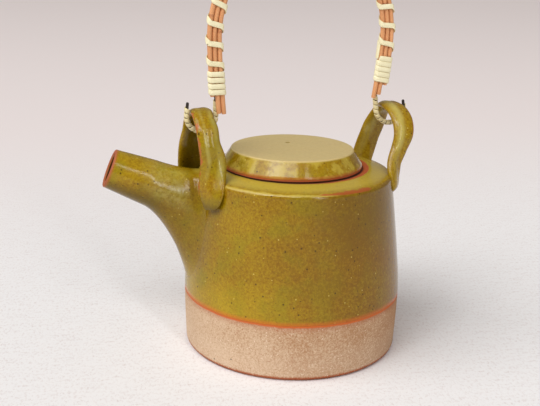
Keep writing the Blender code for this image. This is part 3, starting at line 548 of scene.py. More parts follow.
def pot_finish():
    """Glaze down to the glaze line, bare clay below it, and a bare seat under the lid."""
    made = Stoneware("Glazed stoneware pot")
    x, y, z, above, step = made.x, made.y, made.z, made.above, made.step
    wander = made.stray(14.0, 3.0, 0.6, made.vector(x, y, 0.0))
    ragged = made.stray(1.1)
    height = z - made.look.glaze_line * MM - wander * 1.3 - ragged * 0.35
    below_middle = step(z, 60.0, 50.0)
    seat = step(z - made.seat, -1.1, -0.8)
    seat_edge = step(made.radius - made.seat_radius + ragged * 0.9 + wander * 2.2, -1.2, -0.6)
    cover = step(height, -0.15, 0.2) * (1.0 - seat * (1.0 - seat_edge))
    run = step(height, 3.2, 0.2) * below_middle
    break_and_highlight_wander = made.stray(1.0, 3.0, 0.6, made.vector(x * 0.16, y * 0.16, z * 0.5))
    # Painted highlight: a wavy pale band along the turned edge of the shoulder, on the left half.
    rim = step(abs(above + 0.9) + break_and_highlight_wander * 1.5, 0.7, 0.2) * step(x, 16.0, 4.0)
    front = step(x, -6.0, 24.0) * step(x, 33.0, 30.0) * step(y, 0.0, -10.0)
    corner = step(abs(above + 0.6) + break_and_highlight_wander - front * 0.6, 0.25, -0.10) * step(front, 0.02, 0.2)
    inside = step(made.radius - made.mouth_radius, 0.7, 0.3) * step(above, -1.8, -2.8)
    glaze_colour = made.coats(
        made.body_glaze(),
        ("flash", run * 0.62),
        ("pale_speck_and_highlight", rim * 0.55),
        ("bare_edge", corner * 0.85),
        ("glaze_deep", inside * 0.5),
    )
    foot_edge = step(z + ragged * 2.0, 3.0, 1.7)
    warm = step(height, -5.5, -0.3) * 0.42 + step(height, -1.6, -0.2) * 0.30 + foot_edge * 0.85
    # Painted shadow: a thin dark ring on the seat along the lid's rim.
    painted_lid_shadow = step(abs(made.from_lid() + 0.1), 1.3, 0.4)
    glaze_line = step(height, -1.7, -0.5) * below_middle
    clay_colour = made.coats(
        made.bare_clay(warm.clamped()),
        ("seat", seat * (0.9 + ragged * 0.4)),
        ("knot_and_shadow", seat * painted_lid_shadow * 0.85),
        ("flash", glaze_line * 0.85),
        ("grog", step(z, 24.0, 8.0) * (1.0 - foot_edge) * 0.16),
    )
    return made.dress(cover, glaze_colour, clay_colour)


def spout_finish():
    """Glaze with a bare lip at the mouth, a dark red-brown inside darkened as painted shade, painted shade
    under the tube and a painted highlight on the flank of the root.
    """
    made = Stoneware("Glazed stoneware spout")
    step, spout = made.step, settings("spout")
    mouth, inward, upward = spout_frame()
    away = made.node("ShaderNodeVectorMath", {"operation": "SUBTRACT"}, (made.place, mouth * MM))
    depth = made.measure("DOT_PRODUCT", away, inward)
    height = made.measure("DOT_PRODUCT", away, upward)
    reach = made.measure("LENGTH", away)
    off_axis = (reach * reach - depth * depth).at_least(0.0) ** 0.5
    ragged = made.stray(1.2, 2.0, 0.6)
    # Painted shade: the pooled colour darkens the underside of the tube.
    under = step(height, -1.0, -9.0) * step(depth, 42.0, 26.0)
    # Painted highlight: the thin mask puts a pale patch on the front flank of the spout's root.
    flank_x, flank_y = -76.0, -12.0
    flank = step(abs(made.y - flank_y), 14.0, 3.0) * step(abs(made.x - flank_x), 17.0, 4.0)
    thin = (flank * step(height, -9.0, 1.0) * (0.22 + made.stray(2.2, 3.0, 0.7))).clamped()
    # Red-brown clay inside the bore, darkened as painted shade.
    middle = (spout.mouth_radius - spout.wall / 2) * MM
    inside = step(off_axis, middle + 0.5, middle - 0.5) * step(depth, 30.0, 20.0)
    glaze_colour = made.coats(
        made.body_glaze(),
        ("pooled_glaze_and_shade", under * 0.6),
        ("painted_highlight", thin),
        ("glaze_break", step(depth + ragged * 1.2, 2.4, 0.8) * 0.6),
        ("spout_inside", inside * step(depth, 0.4, 1.6)),
    )
    return made.dress(step(depth + ragged * 0.7, 0.5, 0.9), glaze_colour, made.bare_clay())


def lug_finish():
    """Glaze that breaks red-brown at the outer edge in front, with painted highlights over the ridges,
    painted shade on the inner faces, and pooled glaze with painted shade low down.
    """
    made = Stoneware("Glazed stoneware strap")
    x, above, step = made.x, made.above, made.step
    edge, across = made.own("edge"), made.own("across")
    patch = made.stray(5.0, 3.0, 0.65)
    right = step(x, 0.0, 30.0)
    crown = step(above, 2.2, 16.2)
    # Partly pooled glaze, partly painted shade: the pooled colour darkens the feet and low on the legs.
    low = step(above + patch * 6.0, -4.8, -11.8) * 0.45 + step(above, -10.3, -13.3) * 0.35
    drift = step(made.noise(9.0), 0.30, 0.62) * step(above, -7.8, 12.2)
    # Painted highlights: pale streaks over the ridges of the left lug, and a broad pale band across the
    # right lug that is strongest at its crown.
    ridge = step(abs(edge - 0.42), 0.30, 0.02) * drift * (1.0 - right)
    broad = step(abs(across + 0.40), 0.62, 0.05) * (drift * 0.5 + 0.5) * right
    # Painted shade: the shade colour darkens the inner faces of the straps, most of all on the left lug.
    inner = step(edge, -0.35, -0.95) * (step(x, 10.0, -10.0) * 0.55 + 0.12)
    glaze_colour = made.coats(
        made.glaze(0.46),
        ("glaze_break", step(edge + patch * 1.3, 0.98, 1.14) * 0.85),
        ("pooled_glaze_and_shade", low),
        ("painted_highlight", ridge * 0.40 + broad * (0.18 + crown * 0.40)),
        ("shade", inner),
    )
    bare = step(edge + made.stray(2.0, 2.0, 0.6) * 0.9, 1.26, 1.34)
    return made.dress(1.0 - bare, glaze_colour, made.bare_clay())


def lid_finish():
    """Satin top that partly paints a reflection, olive bevel with paler patches, and a bare rim with
    painted shadow under it.
    """
    made = Stoneware("Glazed stoneware lid")
    z, step, lid = made.z, made.step, settings("lid")
    seat = made.seat + lid.gap * MM
    crest = seat + lid.height * MM
    ragged = made.stray(1.4, 3.0, 0.6)
    top = step(z, crest - 0.9, crest - 0.3)
    bevel = 1.0 - top
    patch = step(made.noise(8.0, 3.0, 0.6), 0.44, 0.60)
    glaze_colour = made.coats(
        made.glaze(0.42),
        ("shoulder", patch * bevel * 0.55),
        # Partly painted reflection: the pale top colour stands for the sky's sheen on the satin glaze.
        ("lid_top", top * (0.55 + made.noise(1.5, 3.0, 0.7) * 0.4)),
        ("glaze_break", step(z + ragged, seat + 3.6, seat + 2.2) * 0.6),
        ("pale_speck_and_highlight", step(z, crest - 1.4, crest - 0.5) * bevel * 0.35),
    )
    # Painted shadow: a dark line along the lower edge of the bare rim.
    under = step(z, seat + 0.9, seat + 0.4) * step(made.from_lid(), -1.8, -0.9)
    clay_colour = made.coats(
        made.bare_clay(), ("seat", step(z, seat + 0.5, seat + 1.0) * 0.8), ("knot_and_shadow", under * 0.9)
    )
    cover = step(z + ragged * 0.8, seat + 1.4, seat + 1.8)
    return made.dress(cover, glaze_colour, clay_colour, top * 0.2)


class Cane(Finish):
    """Cane with its fibres along its length, and a shift that sets it apart from the others."""

    def __init__(self, name, shift):
        super().__init__(name)
        self.shift = shift
        self.along = self.own("along") * MM
        self.section = self.parts(self.own("section", output=1))

    def drift(self, spacing, rate):
        """A slow change of colour down the length."""
        return self.stray(1.0, 2.0, 0.5, self.vector(self.shift * spacing, 0.0, self.along * rate))


def cane_finish(name, shift):
    """Natural cane with lengthwise fibres, joints and a few dark knots."""
    made = Cane(name, shift)
    u, v, _ = made.section
    strand = made.vector(u * 9.0, v * 9.0, made.along * 0.045 + shift * 17.0)
    fibre = made.noise(1.0, 3.0, 0.65, strand)
    share = ((fibre - 0.5) * 1.9 + made.drift(5.0, 0.02) * 1.2 + 0.32).clamped()
    crack = made.noise(1.0, 2.0, 0.5, made.vector(u * 22.0, v * 22.0, made.along * 0.03))
    wave = ((made.along + shift * 31.0) * (math.tau / CANE_JOINT_SPACING)).sine()
    joint = made.step(wave, 0.9965, 0.9995)
    drawn = made.vector(made.x, made.y, made.z * 0.45)
    return made.set(
        Base_Color=made.coats(
            made.look.cane_light,
            ("cane_deep", share),
            ("cane_end", made.step(crack, 0.63, 0.70) * 0.5),
            ("cane_end", joint * 0.45),
            ("knot_and_shadow", made.dots(5.2, 0.62, 0.40, drawn) * 0.9),
        ),
        Roughness=0.42 + fibre * 0.2, Coat_Weight=0.15, Coat_Roughness=0.25,
        Normal=made.bump(fibre * 0.8 + joint * 0.5, 0.16),
    )


def split_cane_finish(name, shift):
    """Peeled split cane: a glossy skin with fine fibres, darker edges and a warmer tone on the hooks."""
    made = Cane(name, shift)
    outward, across, _ = made.section
    fibre = made.noise(1.0, 3.0, 0.6, made.vector(outward, across * 9.0, made.along * 0.06 + shift * 13.0))
    edge = made.step(abs(across), 0.80, 1.0)
    hook_top = (settings("handle").pivot_height + settings("bail").wrap_rise) * MM
    low = made.step(made.z - hook_top, 3.8, -2.2)
    share = (fibre - 0.5) * 1.1 + made.drift(3.0, 0.035) * 0.9 + 0.14 + edge * 0.45 + low * 0.5
    return made.set(
        Base_Color=made.coats(
            made.look.split_light,
            ("split_deep", share.clamped()),
            ("knot_and_shadow", made.dots(6.0, 0.55, 0.24) * 0.75),
        ),
        Roughness=0.40 + fibre * 0.15, Coat_Weight=0.2, Coat_Roughness=0.2, Normal=made.bump(fibre, 0.05),
    )


def wire_finish():
    """Black annealed wire."""
    made = Finish("Black wire")
    scale = made.noise(0.6, 3.0, 0.6)
    return made.set(
        Base_Color=made.coats(made.look.wire, ("wire_scale", scale)),
        Roughness=0.42 + scale * 0.25, Metallic=0.7, Normal=made.bump(scale, 0.03),
    )


# Mesh pieces

def make_object(name, data):
    made = bpy.data.objects.new(name, data)
    bpy.context.scene.collection.objects.link(made)
    return made


def dress_mesh(mesh, material):
    mesh.materials.clear()
    mesh.materials.append(material)
    mesh.shade_smooth()


def outward_normals(mesh, merge=0.0):
    shape = bmesh.new()
    shape.from_mesh(mesh)
    if merge:
        bmesh.ops.remove_doubles(shape, verts=shape.verts, dist=merge)
    bmesh.ops.recalc_face_normals(shape, faces=shape.faces)
    shape.to_mesh(mesh)
    shape.free()


def skin(name, rings, material, closed_path=False, marks=None, caps=True):
    """A surface through rings of equal length. Marks hold each point's numbers by name, ring by ring."""
    sides = len(rings[0])
    vertices = [tuple(point) for ring in rings for point in ring]
    faces = []
    for k in range(len(rings) if closed_path else len(rings) - 1):
        here, there = k * sides, (k + 1) % len(rings) * sides
        for j in range(sides):
            after = (j + 1) % sides
            faces.append((here + j, here + after, there + after, there + j))
    if caps and not closed_path:
        faces.append(tuple(range(sides)))
        faces.append(tuple(range(len(vertices) - sides, len(vertices))))
    mesh = bpy.data.meshes.new(name)
    mesh.from_pydata(vertices, [], faces)
    for label, values in (marks or {}).items():
        layer = mesh.attributes.new(label, "FLOAT", "POINT")
        layer.data.foreach_set("value", [value for ring in values for value in ring])
    outward_normals(mesh)
    dress_mesh(mesh, material)
    return make_object(name, mesh)


def turned(name, profile, steps, material, waver=0.0, centre=(0.0, 0.0)):
    """A closed turned solid from a profile that starts and ends on the axis."""
    rings = []
    for r, z in profile:
        ring = []
        for k in range(steps):
            turn = math.tau * k / steps
            x, y = math.cos(turn), math.sin(turn)
            stray = lattice_noise.noise(Vector((x * 1.2, y * 1.2, z * 26.0)))
            reach = r * (1.0 - waver * (1.0 + stray))
            ring.append((centre[0] + x * reach, centre[1] + y * reach, z))
        rings.append(ring)
    made = skin(name, rings, material, caps=False)
    outward_normals(made.data, merge=1e-7)
    return made


def drill(piece, places, direction, radius, depth):
    """Drills round holes into a piece and leaves it as a plain mesh with sharp hole edges."""
    shape = bmesh.new()
    turn = Vector((0.0, 0.0, 1.0)).rotation_difference(direction).to_matrix().to_4x4()
    for place in places:
        bmesh.ops.create_cone(
            shape, cap_ends=True, segments=24, radius1=radius, radius2=radius, depth=depth,
            matrix=Matrix.Translation(place) @ turn,
        )
    rods = bpy.data.meshes.new("rods")
    shape.to_mesh(rods)
    shape.free()
    cutter = make_object("rods", rods)
    modifier = piece.modifiers.new("drill", "BOOLEAN")
    modifier.operation = "DIFFERENCE"
    modifier.solver = "EXACT"
    modifier.object = cutter
    evaluated = piece.evaluated_get(bpy.context.evaluated_depsgraph_get())
    mesh = bpy.data.meshes.new_from_object(evaluated)
    piece.modifiers.clear()
    whole = piece.data
    piece.data = mesh
    bpy.data.objects.remove(cutter)
    for old in (whole, rods):
        bpy.data.meshes.remove(old)
    mesh.shade_smooth()
    mesh.set_sharp_from_angle(angle=math.radians(50.0))


def arc(centre_r, centre_z, radius, first, last, steps):
    turns = [math.radians(first + (last - first) * k / steps) for k in range(steps + 1)]
    return [(centre_r + radius * math.cos(a), centre_z + radius * math.sin(a)) for a in turns]


def line(start, end, steps):
    """Points between two profile points, without the two ends."""
    (r, z), (last_r, last_z) = start, end
    return [(r + (last_r - r) * k / steps, z + (last_z - z) * k / steps) for k in range(1, steps)]


def bezier(points, t):
    while len(points) > 1:
        points = [a.lerp(b, t) for a, b in zip(points, points[1:])]
    return points[0]


def outward(point):
    """The level direction from the pot's axis to a point."""
    return Vector((point.x, point.y, 0.0)).normalized()


# The pot

def wall_radius(z):
    """Outer radius of the thrown wall at a height."""
    pot = settings("pot")
    if z < pot.belly_height:
        rise = math.sin(math.pi / 2 * max(z, 0.0) / pot.belly_height)
        return pot.foot_radius + (pot.belly_radius - pot.foot_radius) * rise
    top = pot.shoulder_height - pot.shoulder_corner
    eased = math.hypot(z - pot.belly_height, pot.belly_softness) - pot.belly_softness
    full = math.hypot(top - pot.belly_height, pot.belly_softness) - pot.belly_softness
    return pot.belly_radius + (pot.shoulder_radius - pot.belly_radius) * eased / full


def shoulder_slope():
    pot = settings("pot")
    return math.atan2(pot.seat_height - pot.shoulder_height, pot.shoulder_radius - pot.seat_radius)


def pot_outline():
    """Outside of the pot from the edge of its foot up to the lid seat."""
    pot = settings("pot")
    corner, bevel = pot.shoulder_corner, pot.foot_chamfer
    low, top = bevel * 1.3, pot.shoulder_height - corner
    wall_rows, foot_ease = 74, 0.0002
    foot = [(pot.foot_radius - bevel, 0.0), (wall_radius(bevel) - foot_ease, bevel * 0.8)]
    heights = [low + (top - low) * k / wall_rows for k in range(wall_rows)]
    last = 90.0 - math.degrees(shoulder_slope())
    edge = arc(pot.shoulder_radius - corner, top, corner, 0.0, last, 12)
    seat = (pot.seat_radius, pot.seat_height)
    return foot + [(wall_radius(z), z) for z in heights] + edge + line(edge[-1], seat, 8) + [seat]


def pot_profile():
    """The closed outline of the body: under its foot, up its outside, and down its inside."""
    pot = settings("pot")
    lip, corner, fillet = pot.mouth_rounding, pot.shoulder_corner, pot.floor_fillet
    low, high = pot.floor + fillet, pot.shoulder_height - pot.shoulder_wall - corner
    inner_rows, mouth_centre = 24, pot.mouth_radius + lip
    outside = pot_outline()
    mouth = arc(mouth_centre, pot.seat_height - lip, lip, 90.0, 180.0, 6)
    under_mouth = arc(mouth_centre, pot.seat_height - pot.shoulder_wall + lip, lip, 180.0, 270.0, 6)
    dome = arc(pot.shoulder_radius - pot.wall - corner, high, corner, 90.0, 0.0, 6)
    heights = [high - (high - low) * k / inner_rows for k in range(1, inner_rows)]
    inner = [(wall_radius(z) - pot.wall, z) for z in heights]
    floor = arc(wall_radius(low) - pot.wall - fillet, low, fillet, 0.0, -90.0, 8)
    base, middle = (0.0, 0.0), (0.0, pot.floor)
    return (
        [base] + line(base, outside[0], 6) + outside + line(outside[-1], mouth[0], 5) + mouth
        + under_mouth + dome + inner + floor + line(floor[-1], middle, 8) + [middle]
    )


def pot_point(distance, turn):
    """A point on the outside: distance along the wall from the foot, turn round from -X."""
    pot = settings("pot")
    bevel = pot.foot_chamfer * math.sqrt(2.0)
    corner, top = pot.shoulder_corner, pot.shoulder_height - pot.shoulder_corner
    wall = bevel + top - pot.foot_chamfer
    if distance <= wall:
        z = pot.foot_chamfer + max(distance - bevel, 0.0)
        radius = wall_radius(z)
    else:
        slope = shoulder_slope()
        bend = (math.pi / 2 - slope) * corner
        past = min(distance - wall, bend) / corner
        rest = max(distance - wall - bend, 0.0)
        radius = pot.shoulder_radius - corner * (1.0 - math.cos(past)) - rest * math.cos(slope)
        z = top + corner * math.sin(past) + rest * math.sin(slope)
    return Vector((-radius * math.cos(turn), -radius * math.sin(turn), z))


# The spout

def spout_frame():
    """The middle of the mouth, and the directions down the tube and up across it."""
    spout = settings("spout")
    inward = Vector((math.cos(spout.rise), 0.0, -math.sin(spout.rise)))
    upward = Vector((math.sin(spout.rise), 0.0, math.cos(spout.rise)))
    return Vector((-spout.reach, 0.0, spout.mouth_height)), inward, upward


def spout_rings():
    """Rings down the outside of the spout into the wall, and back up its inside."""
    spout, pot = settings("spout"), settings("pot")
    mouth, inward, upward = spout_frame()
    across = Vector((0.0, -1.0, 0.0))
    turns = [math.tau * k / spout.sides for k in range(spout.sides)]
    middle = pot.shoulder_height + (spout.root_lap - spout.root_drop) / 2
    half_height = (spout.root_lap + spout.root_drop) / 2
    lip_steps, tube_steps, joint_start = 6, 12, 0.72
    skin_cover, shoulder_cover, buried = 0.0003, 0.0005, 0.0016

    def tube_point(a, depth, radius):
        return mouth + inward * depth + (upward * math.cos(a) + across * math.sin(a)) * radius

    def tube_ring(depth, radius):
        return [tube_point(a, depth, radius) for a in turns]

    def lip(radius, way):
        """The rounded edge of the mouth: way is 1 on the outside and -1 on the inside."""
        bends = [math.pi / 2 * k / lip_steps for k in range(lip_steps + 1)]
        return [
            tube_ring(spout.lip * (1 - math.cos(a)), radius - way * spout.lip * (1 - math.sin(a)))
            for a in bends
        ]

    def tube(radius):
        shares = [k / tube_steps for k in range(1, tube_steps + 1)]
        widening = spout.tube_radius - spout.mouth_radius
        straight = spout.tube_length - spout.lip
        return [tube_ring(spout.lip + straight * share, radius + widening * share) for share in shares]

    def root_point(a, inset, scale=1.0):
        distance = middle + (half_height - inset) * math.cos(a) * scale
        width = (spout.root_half_width - inset) * math.sin(a) * scale
        return pot_point(distance, width / wall_radius(pot.hole_height))

    def flare_point(a, t, radius, inset):
        start, end = tube_point(a, spout.tube_length, radius), root_point(a, inset)
        spread = (root_point(a, inset, 1.0 + spout.side_share) - end).normalized()
        low = ((1.0 - math.cos(a)) / 2) ** 3
        share = spout.side_share + (1.0 - spout.side_share) * low
        second = end - spread * spout.root_pull * share + outward(end) * spout.root_lift * share
        return bezier([start, start + inward * spout.tube_pull, second, end], t)

    def flare(radius, inset, steps, last):
        stations = [last * k / steps for k in range(1, steps + 1)]
        return [[flare_point(a, t, radius, inset) for a in turns] for t in stations]

    def joint(radius, inset, steps):
        """The end of the flare bent over until it runs along the wall and under its skin."""
        rings = []
        for k in range(1, steps + 1):
            s = k / steps
            ring = []
            for a in turns:
                rise = (1.0 + math.cos(a)) / 2
                reach = spout.fillet * (1.0 - 0.65 * rise**2 - 0.45 * (1.0 - rise) ** 3)
                end = root_point(a, inset - reach)
                end -= outward(end) * skin_cover * s
                if end.z > pot.shoulder_height - pot.shoulder_corner:
                    end.z -= shoulder_cover
                start = flare_point(a, joint_start, radius, inset)
                ring.append(bezier([start, root_point(a, inset), end], s))
            rings.append(ring)
        return rings

    outer = lip(spout.mouth_radius, 1) + tube(spout.mouth_radius)
    outer += flare(spout.tube_radius, 0.0, 30, joint_start) + joint(spout.tube_radius, 0.0, 16)
    bore = spout.mouth_radius - spout.wall
    inner = lip(bore, -1) + tube(bore) + flare(spout.tube_radius - spout.wall, spout.root_wall, 24, 1.0)
    ends = [[point - outward(point) * buried for point in side[-1]] for side in (outer, inner)]
    return outer + ends + inner[::-1]


# The lugs

def handle_place():
    """Moves what is made in the handle's own plane to its place on the pot."""
    handle = settings("handle")
    return Matrix.Rotation(handle.turn, 4, "Z") @ Matrix.Translation((handle.offset, 0.0, 0.0))


# Stations down a leg of a lug: share of the half span, share of the height above the foot, share of the
# way over to the foot and of its twist, share of the thickness.
LEG_SHARES = (
    (0.00, 1.00, 0.00, 1.00),
    (0.42, 0.965, 0.00, 1.00),
    (0.78, 0.860, 0.00, 1.00),
    (0.97, 0.700, 0.00, 1.00),
    (1.00, 0.520, 0.12, 1.00),
    (1.00, 0.360, 0.48, 1.00),
    (1.00, 0.200, 0.86, 0.98),
    (1.00, 0.070, 1.00, 0.80),
    (1.00, 0.000, 1.00, 0.45),
    (1.00, -0.015, 1.00, 0.18),
)

# A leg: its half span, the turn, twist, drop and stand-off of its foot in degrees and metres, and its bow
# and width down its stations, as shares of the strap's width.
Leg = namedtuple("Leg", "half_span turn twist drop stand_off bows widths")

LUG_LEGS = {
    "left": (
        Leg(0.0170, 20.8, 58.0, 0.0139, 0.0018,
            (0.00, 0.05, 0.01, -0.03, -0.17, -0.11, 0.00, 0.07, 0.14, 0.14),
            (1.00, 0.94, 1.00, 0.99, 1.13, 1.19, 1.34, 1.16, 0.64, 0.25)),
        Leg(0.0174, 24.4, 17.2, 0.0098, 0.0040,
            (0.00, -0.01, 0.02, 0.02, 0.10, 0.10, 0.08, 0.04, 0.00, 0.00),
            (1.00, 0.96, 1.00, 1.06, 1.17, 1.20, 1.19, 1.12, 0.99, 0.60)),
    ),
    "right": (
        Leg(0.0205, 25.6, 53.6, 0.0103, 0.0004,
            (0.00, 0.04, 0.05, -0.01, -0.18, -0.25, -0.10, 0.01, -0.08, -0.08),
            (1.00, 1.05, 1.04, 0.97, 0.82, 0.89, 1.12, 1.10, 1.01, 0.40)),
        Leg(0.0190, 22.1, 53.5, 0.0098, 0.0001,
            (0.00, 0.09, 0.10, -0.01, -0.18, -0.16, -0.09, -0.03, 0.02, 0.02),
            (1.00, 0.92, 0.94, 1.10, 1.05, 1.02, 1.04, 1.03, 0.98, 0.60)),
    ),
}


def leg_rows(leg, side, way):
    """Centre, twist, width and thickness of a leg from the crown down; way is -1 in front and 1 behind."""
    handle, lugs = settings("handle"), settings("lugs")
    centre = handle.shank + (handle.left_hook if side < 0 else handle.right_hook)
    turn, twist = math.radians(leg.turn), math.radians(leg.twist)
    foot_z = settings("pot").shoulder_height - leg.drop
    distance = wall_radius(foot_z) + leg.stand_off
    foot_x = distance * math.cos(turn) - side * handle.offset
    foot_y = distance * math.sin(turn)
    rows = []
    for (span, height, over, thickness), bow, width in zip(LEG_SHARES, leg.bows, leg.widths):
        x = centre + (foot_x - centre) * over + lugs.width * bow
        y = span * leg.half_span + (foot_y - leg.half_span) * over
        z = foot_z + (lugs.crown_height - foot_z) * height
        rows.append((x, way * y, z, way * twist * over, width, thickness))
    return rows


def smooth_rows(rows, steps):
    """Catmull-Rom interpolation through rows of numbers."""
    made = []
    for k in range(len(rows) - 1):
        before, after = rows[max(k - 1, 0)], rows[min(k + 2, len(rows) - 1)]
        for t in [step / steps for step in range(steps)]:
            row = []
            for a, b, c, d in zip(before, rows[k], rows[k + 1], after):
                curve = 2 * b + (c - a) * t + (2 * a - 5 * b + 4 * c - d) * t**2
                curve += (3 * b - a - 3 * c + d) * t**3
                row.append(curve / 2)
            made.append(tuple(row))
    return made + [tuple(rows[-1])]


def keep_in_wall(point):
    """Holds a buried point of a lug's foot inside the clay of the wall."""
    pot = settings("pot")
    depth, shoulder_depth = 0.0022, 0.0012
    flat = Vector((point.x, point.y, 0.0))
    limit = wall_radius(min(point.z, pot.shoulder_height - pot.shoulder_corner)) - depth
    if flat.length < limit and point.z < pot.shoulder_height - shoulder_depth:
        flat = flat.normalized() * limit
    return Vector((flat.x, flat.y, point.z))


def lug_rings(side, legs):
    """Rings of a strap from its front foot over the crown to its back foot, and two marks for each point.

    The edge mark nears 1 at the two edges, passes it at the outer edge in front, and is below 0 inside.
    The other mark runs across the strap, from -1 towards the lid to 1 away from it.
    """
    lugs, place = settings("lugs"), handle_place()
    rows = smooth_rows(leg_rows(legs[0], side, -1.0)[:0:-1] + leg_rows(legs[1], side, 1.0), 11)
    samples, power = 44, 2.0 / lugs.squareness
    groove_place, groove_spread = 0.12, 0.30
    rings, marks = [], {"edge": [], "across": []}
    for k, (x, y, z, twist, width, thickness) in enumerate(rows):
        before, after = rows[max(k - 1, 0)], rows[min(k + 1, len(rows) - 1)]
        tangent = (Vector(after[:3]) - Vector(before[:3])).normalized()
        across = Vector((math.cos(twist), -math.sin(twist), 0.0))
        across = (across - tangent * across.dot(tangent)).normalized()
        normal = tangent.cross(across).normalized()
        ring, edge, sides = [], [], []
        for a in [math.tau * j / samples for j in range(samples)]:
            u, v = (math.copysign(abs(share) ** power, share) for share in (math.cos(a), math.sin(a)))
            channel = math.exp(-(((u - groove_place) / groove_spread) ** 2)) * (1.0 if v < 0 else 0.3)
            lift = v * lugs.thickness * thickness / 2
            lift += math.copysign(lugs.groove, -v) * channel * min(thickness, 1.0)
            lift += lattice_noise.noise(Vector((u * 1.2 + side, z * 45.0, v + y * 25.0))) * lugs.kneading
            point = Vector((x, y, z)) + across * (u * lugs.width * width / 2) + normal * lift
            ring.append(keep_in_wall(place @ Vector((side * point.x, point.y, point.z))))
            edge.append(-v if v > 0.3 else abs(u) * (1.15 if u > 0 and y < 0 else 0.70))
            sides.append(u)
        rings.append(ring)
        marks["edge"].append(edge)
        marks["across"].append(sides)
    return rings, marks


# The lid

def lid_profile():
    """The closed outline of the lid from the middle of its top round to its hollow underside."""
    lid = settings("lid")
    base = settings("pot").seat_height + lid.gap
    top, bottom = base + lid.height, base - lid.skirt_depth
    inner, under = lid.skirt_radius - lid.skirt_thickness, top - lid.thickness
    bevel = math.degrees(math.atan2(lid.radius - lid.top_radius, lid.height - lid.rim_height))
    edge, rim_edge, foot_edge, fillet = 0.0010, 0.0007, 0.0008, lid.skirt_thickness
    crest = arc(lid.top_radius - edge * 0.55, top - edge, edge, 90.0, bevel, 6)
    rim_top = (lid.radius, base + lid.rim_height)
    rim = arc(lid.radius - rim_edge, base + rim_edge, rim_edge, 0.0, -90.0, 5)
    root = (lid.skirt_radius, base)
    foot_out = arc(lid.skirt_radius - foot_edge, bottom + foot_edge, foot_edge, 0.0, -90.0, 4)
    foot_in = arc(inner + foot_edge, bottom + foot_edge, foot_edge, -90.0, -180.0, 4)
    hollow = arc(inner - fillet, under - fillet, fillet, 0.0, 90.0, 6)
    crown, ceiling = (0.0, top), (0.0, under)
    return (
        [crown] + line(crown, crest[0], 12) + crest + line(crest[-1], rim_top, 8) + [rim_top]
        + line(rim_top, rim[0], 3) + rim + line(rim[-1], root, 4) + [root] + line(root, foot_out[0], 4)
        + foot_out + foot_in + line(foot_in[-1], hollow[0], 5) + hollow + line(hollow[-1], ceiling, 8)
        + [ceiling]
    )


# The bail

class BailPath:
    """Centre line of the cane bundle above its pivot, measured from its crown, negative to the left."""

    def __init__(self, samples=1200):
        self.points = [self.outline(-1.0 + 2.0 * k / samples) for k in range(samples + 1)]
        steps = [(b - a).length for a, b in zip(self.points, self.points[1:])]
        lengths = list(accumulate(steps, initial=0.0))
        self.lengths = [distance - lengths[samples // 2] for distance in lengths]

    @staticmethod
    def outline(share):
        """A point at a share of the line, from -1 at the left end over 0 at the crown to 1."""
        bail = settings("bail")
        side, leg_share = math.copysign(1.0, share), 0.4
        if abs(share) <= 1.0 - leg_share:
            turn = math.pi / 2 * abs(share) / (1.0 - leg_share)
            x = bail.half_width * math.sin(turn)
            return Vector((side * x, 0.0, bail.widest_rise + bail.arch_rise * math.cos(turn)))
        depth = (abs(share) - 1.0 + leg_share) / leg_share * bail.widest_rise
        closed = (depth / (bail.widest_rise - bail.wrap_rise)) ** bail.spread_power
        x = bail.half_width - (bail.left_spread if side < 0 else bail.right_spread) * closed
        return Vector((side * x, 0.0, bail.widest_rise - depth))

    def at(self, distance, p=0.0, q=0.0, turn=0.0):
        """A point at a distance from the crown, and the way out from it.

        The point lies p outwards and q backwards from the line, and the way turns from outwards to back.
        """
        low = min(max(bisect_right(self.lengths, distance) - 1, 0), len(self.lengths) - 2)
        share = (distance - self.lengths[low]) / (self.lengths[low + 1] - self.lengths[low])
        before = self.points[max(low - 1, 0)]
        after = self.points[min(low + 2, len(self.points) - 1)]
        tangent = (after - before).normalized()
        normal = Vector((-tangent.z, 0.0, tangent.x))
        centre = self.points[low].lerp(self.points[low + 1], share)
        return centre + normal * p + BACK * q, normal * math.cos(turn) + BACK * math.sin(turn)

    def distance_at(self, rise, side):
        """Distance from the crown where a leg is so high above the pivot."""
        order = range(len(self.points)) if side < 0 else range(len(self.points) - 1, -1, -1)
        return next(self.lengths[k] for k in order if self.points[k].z >= rise)


def cane_places():
    """Place of each cane in the bundle: outwards across the arch, and along Y."""
    pitch = settings("bail").cane_pitch
    back = -0.00195
    front = back - pitch * math.sin(math.radians(60.0))
    return {
        "front_inner": (-pitch, front),
        "front_middle": (0.0, front),
        "front_outer": (pitch, front),
        "back_inner": (-pitch / 2, back),
        "back_outer": (pitch / 2, back),
    }


# Rise of each cane's two lower ends above the pivot, left and right
CANE_ENDS = {
    "front_outer": (0.0200, 0.0237),
    "front_middle": (0.0104, 0.0179),
    "front_inner": (0.0097, 0.0156),
    "back_outer": (0.0206, 0.0243),
    "back_inner": (0.0181, 0.0198),
}


def bundle_outline(turn, clearance, with_wire):
    """Point of the string line round the bundle in a direction."""
    bail = settings("bail")
    circles = [(p, q, bail.cane_radius) for p, q in cane_places().values()]
    if with_wire:
        circles.append((0.0, 0.0, bail.wire_radius))
    x, y = math.cos(turn), math.sin(turn)
    p, q, radius = max(circles, key=lambda circle: circle[0] * x + circle[1] * y + circle[2])
    return p + (radius + clearance) * x, q + (radius + clearance) * y


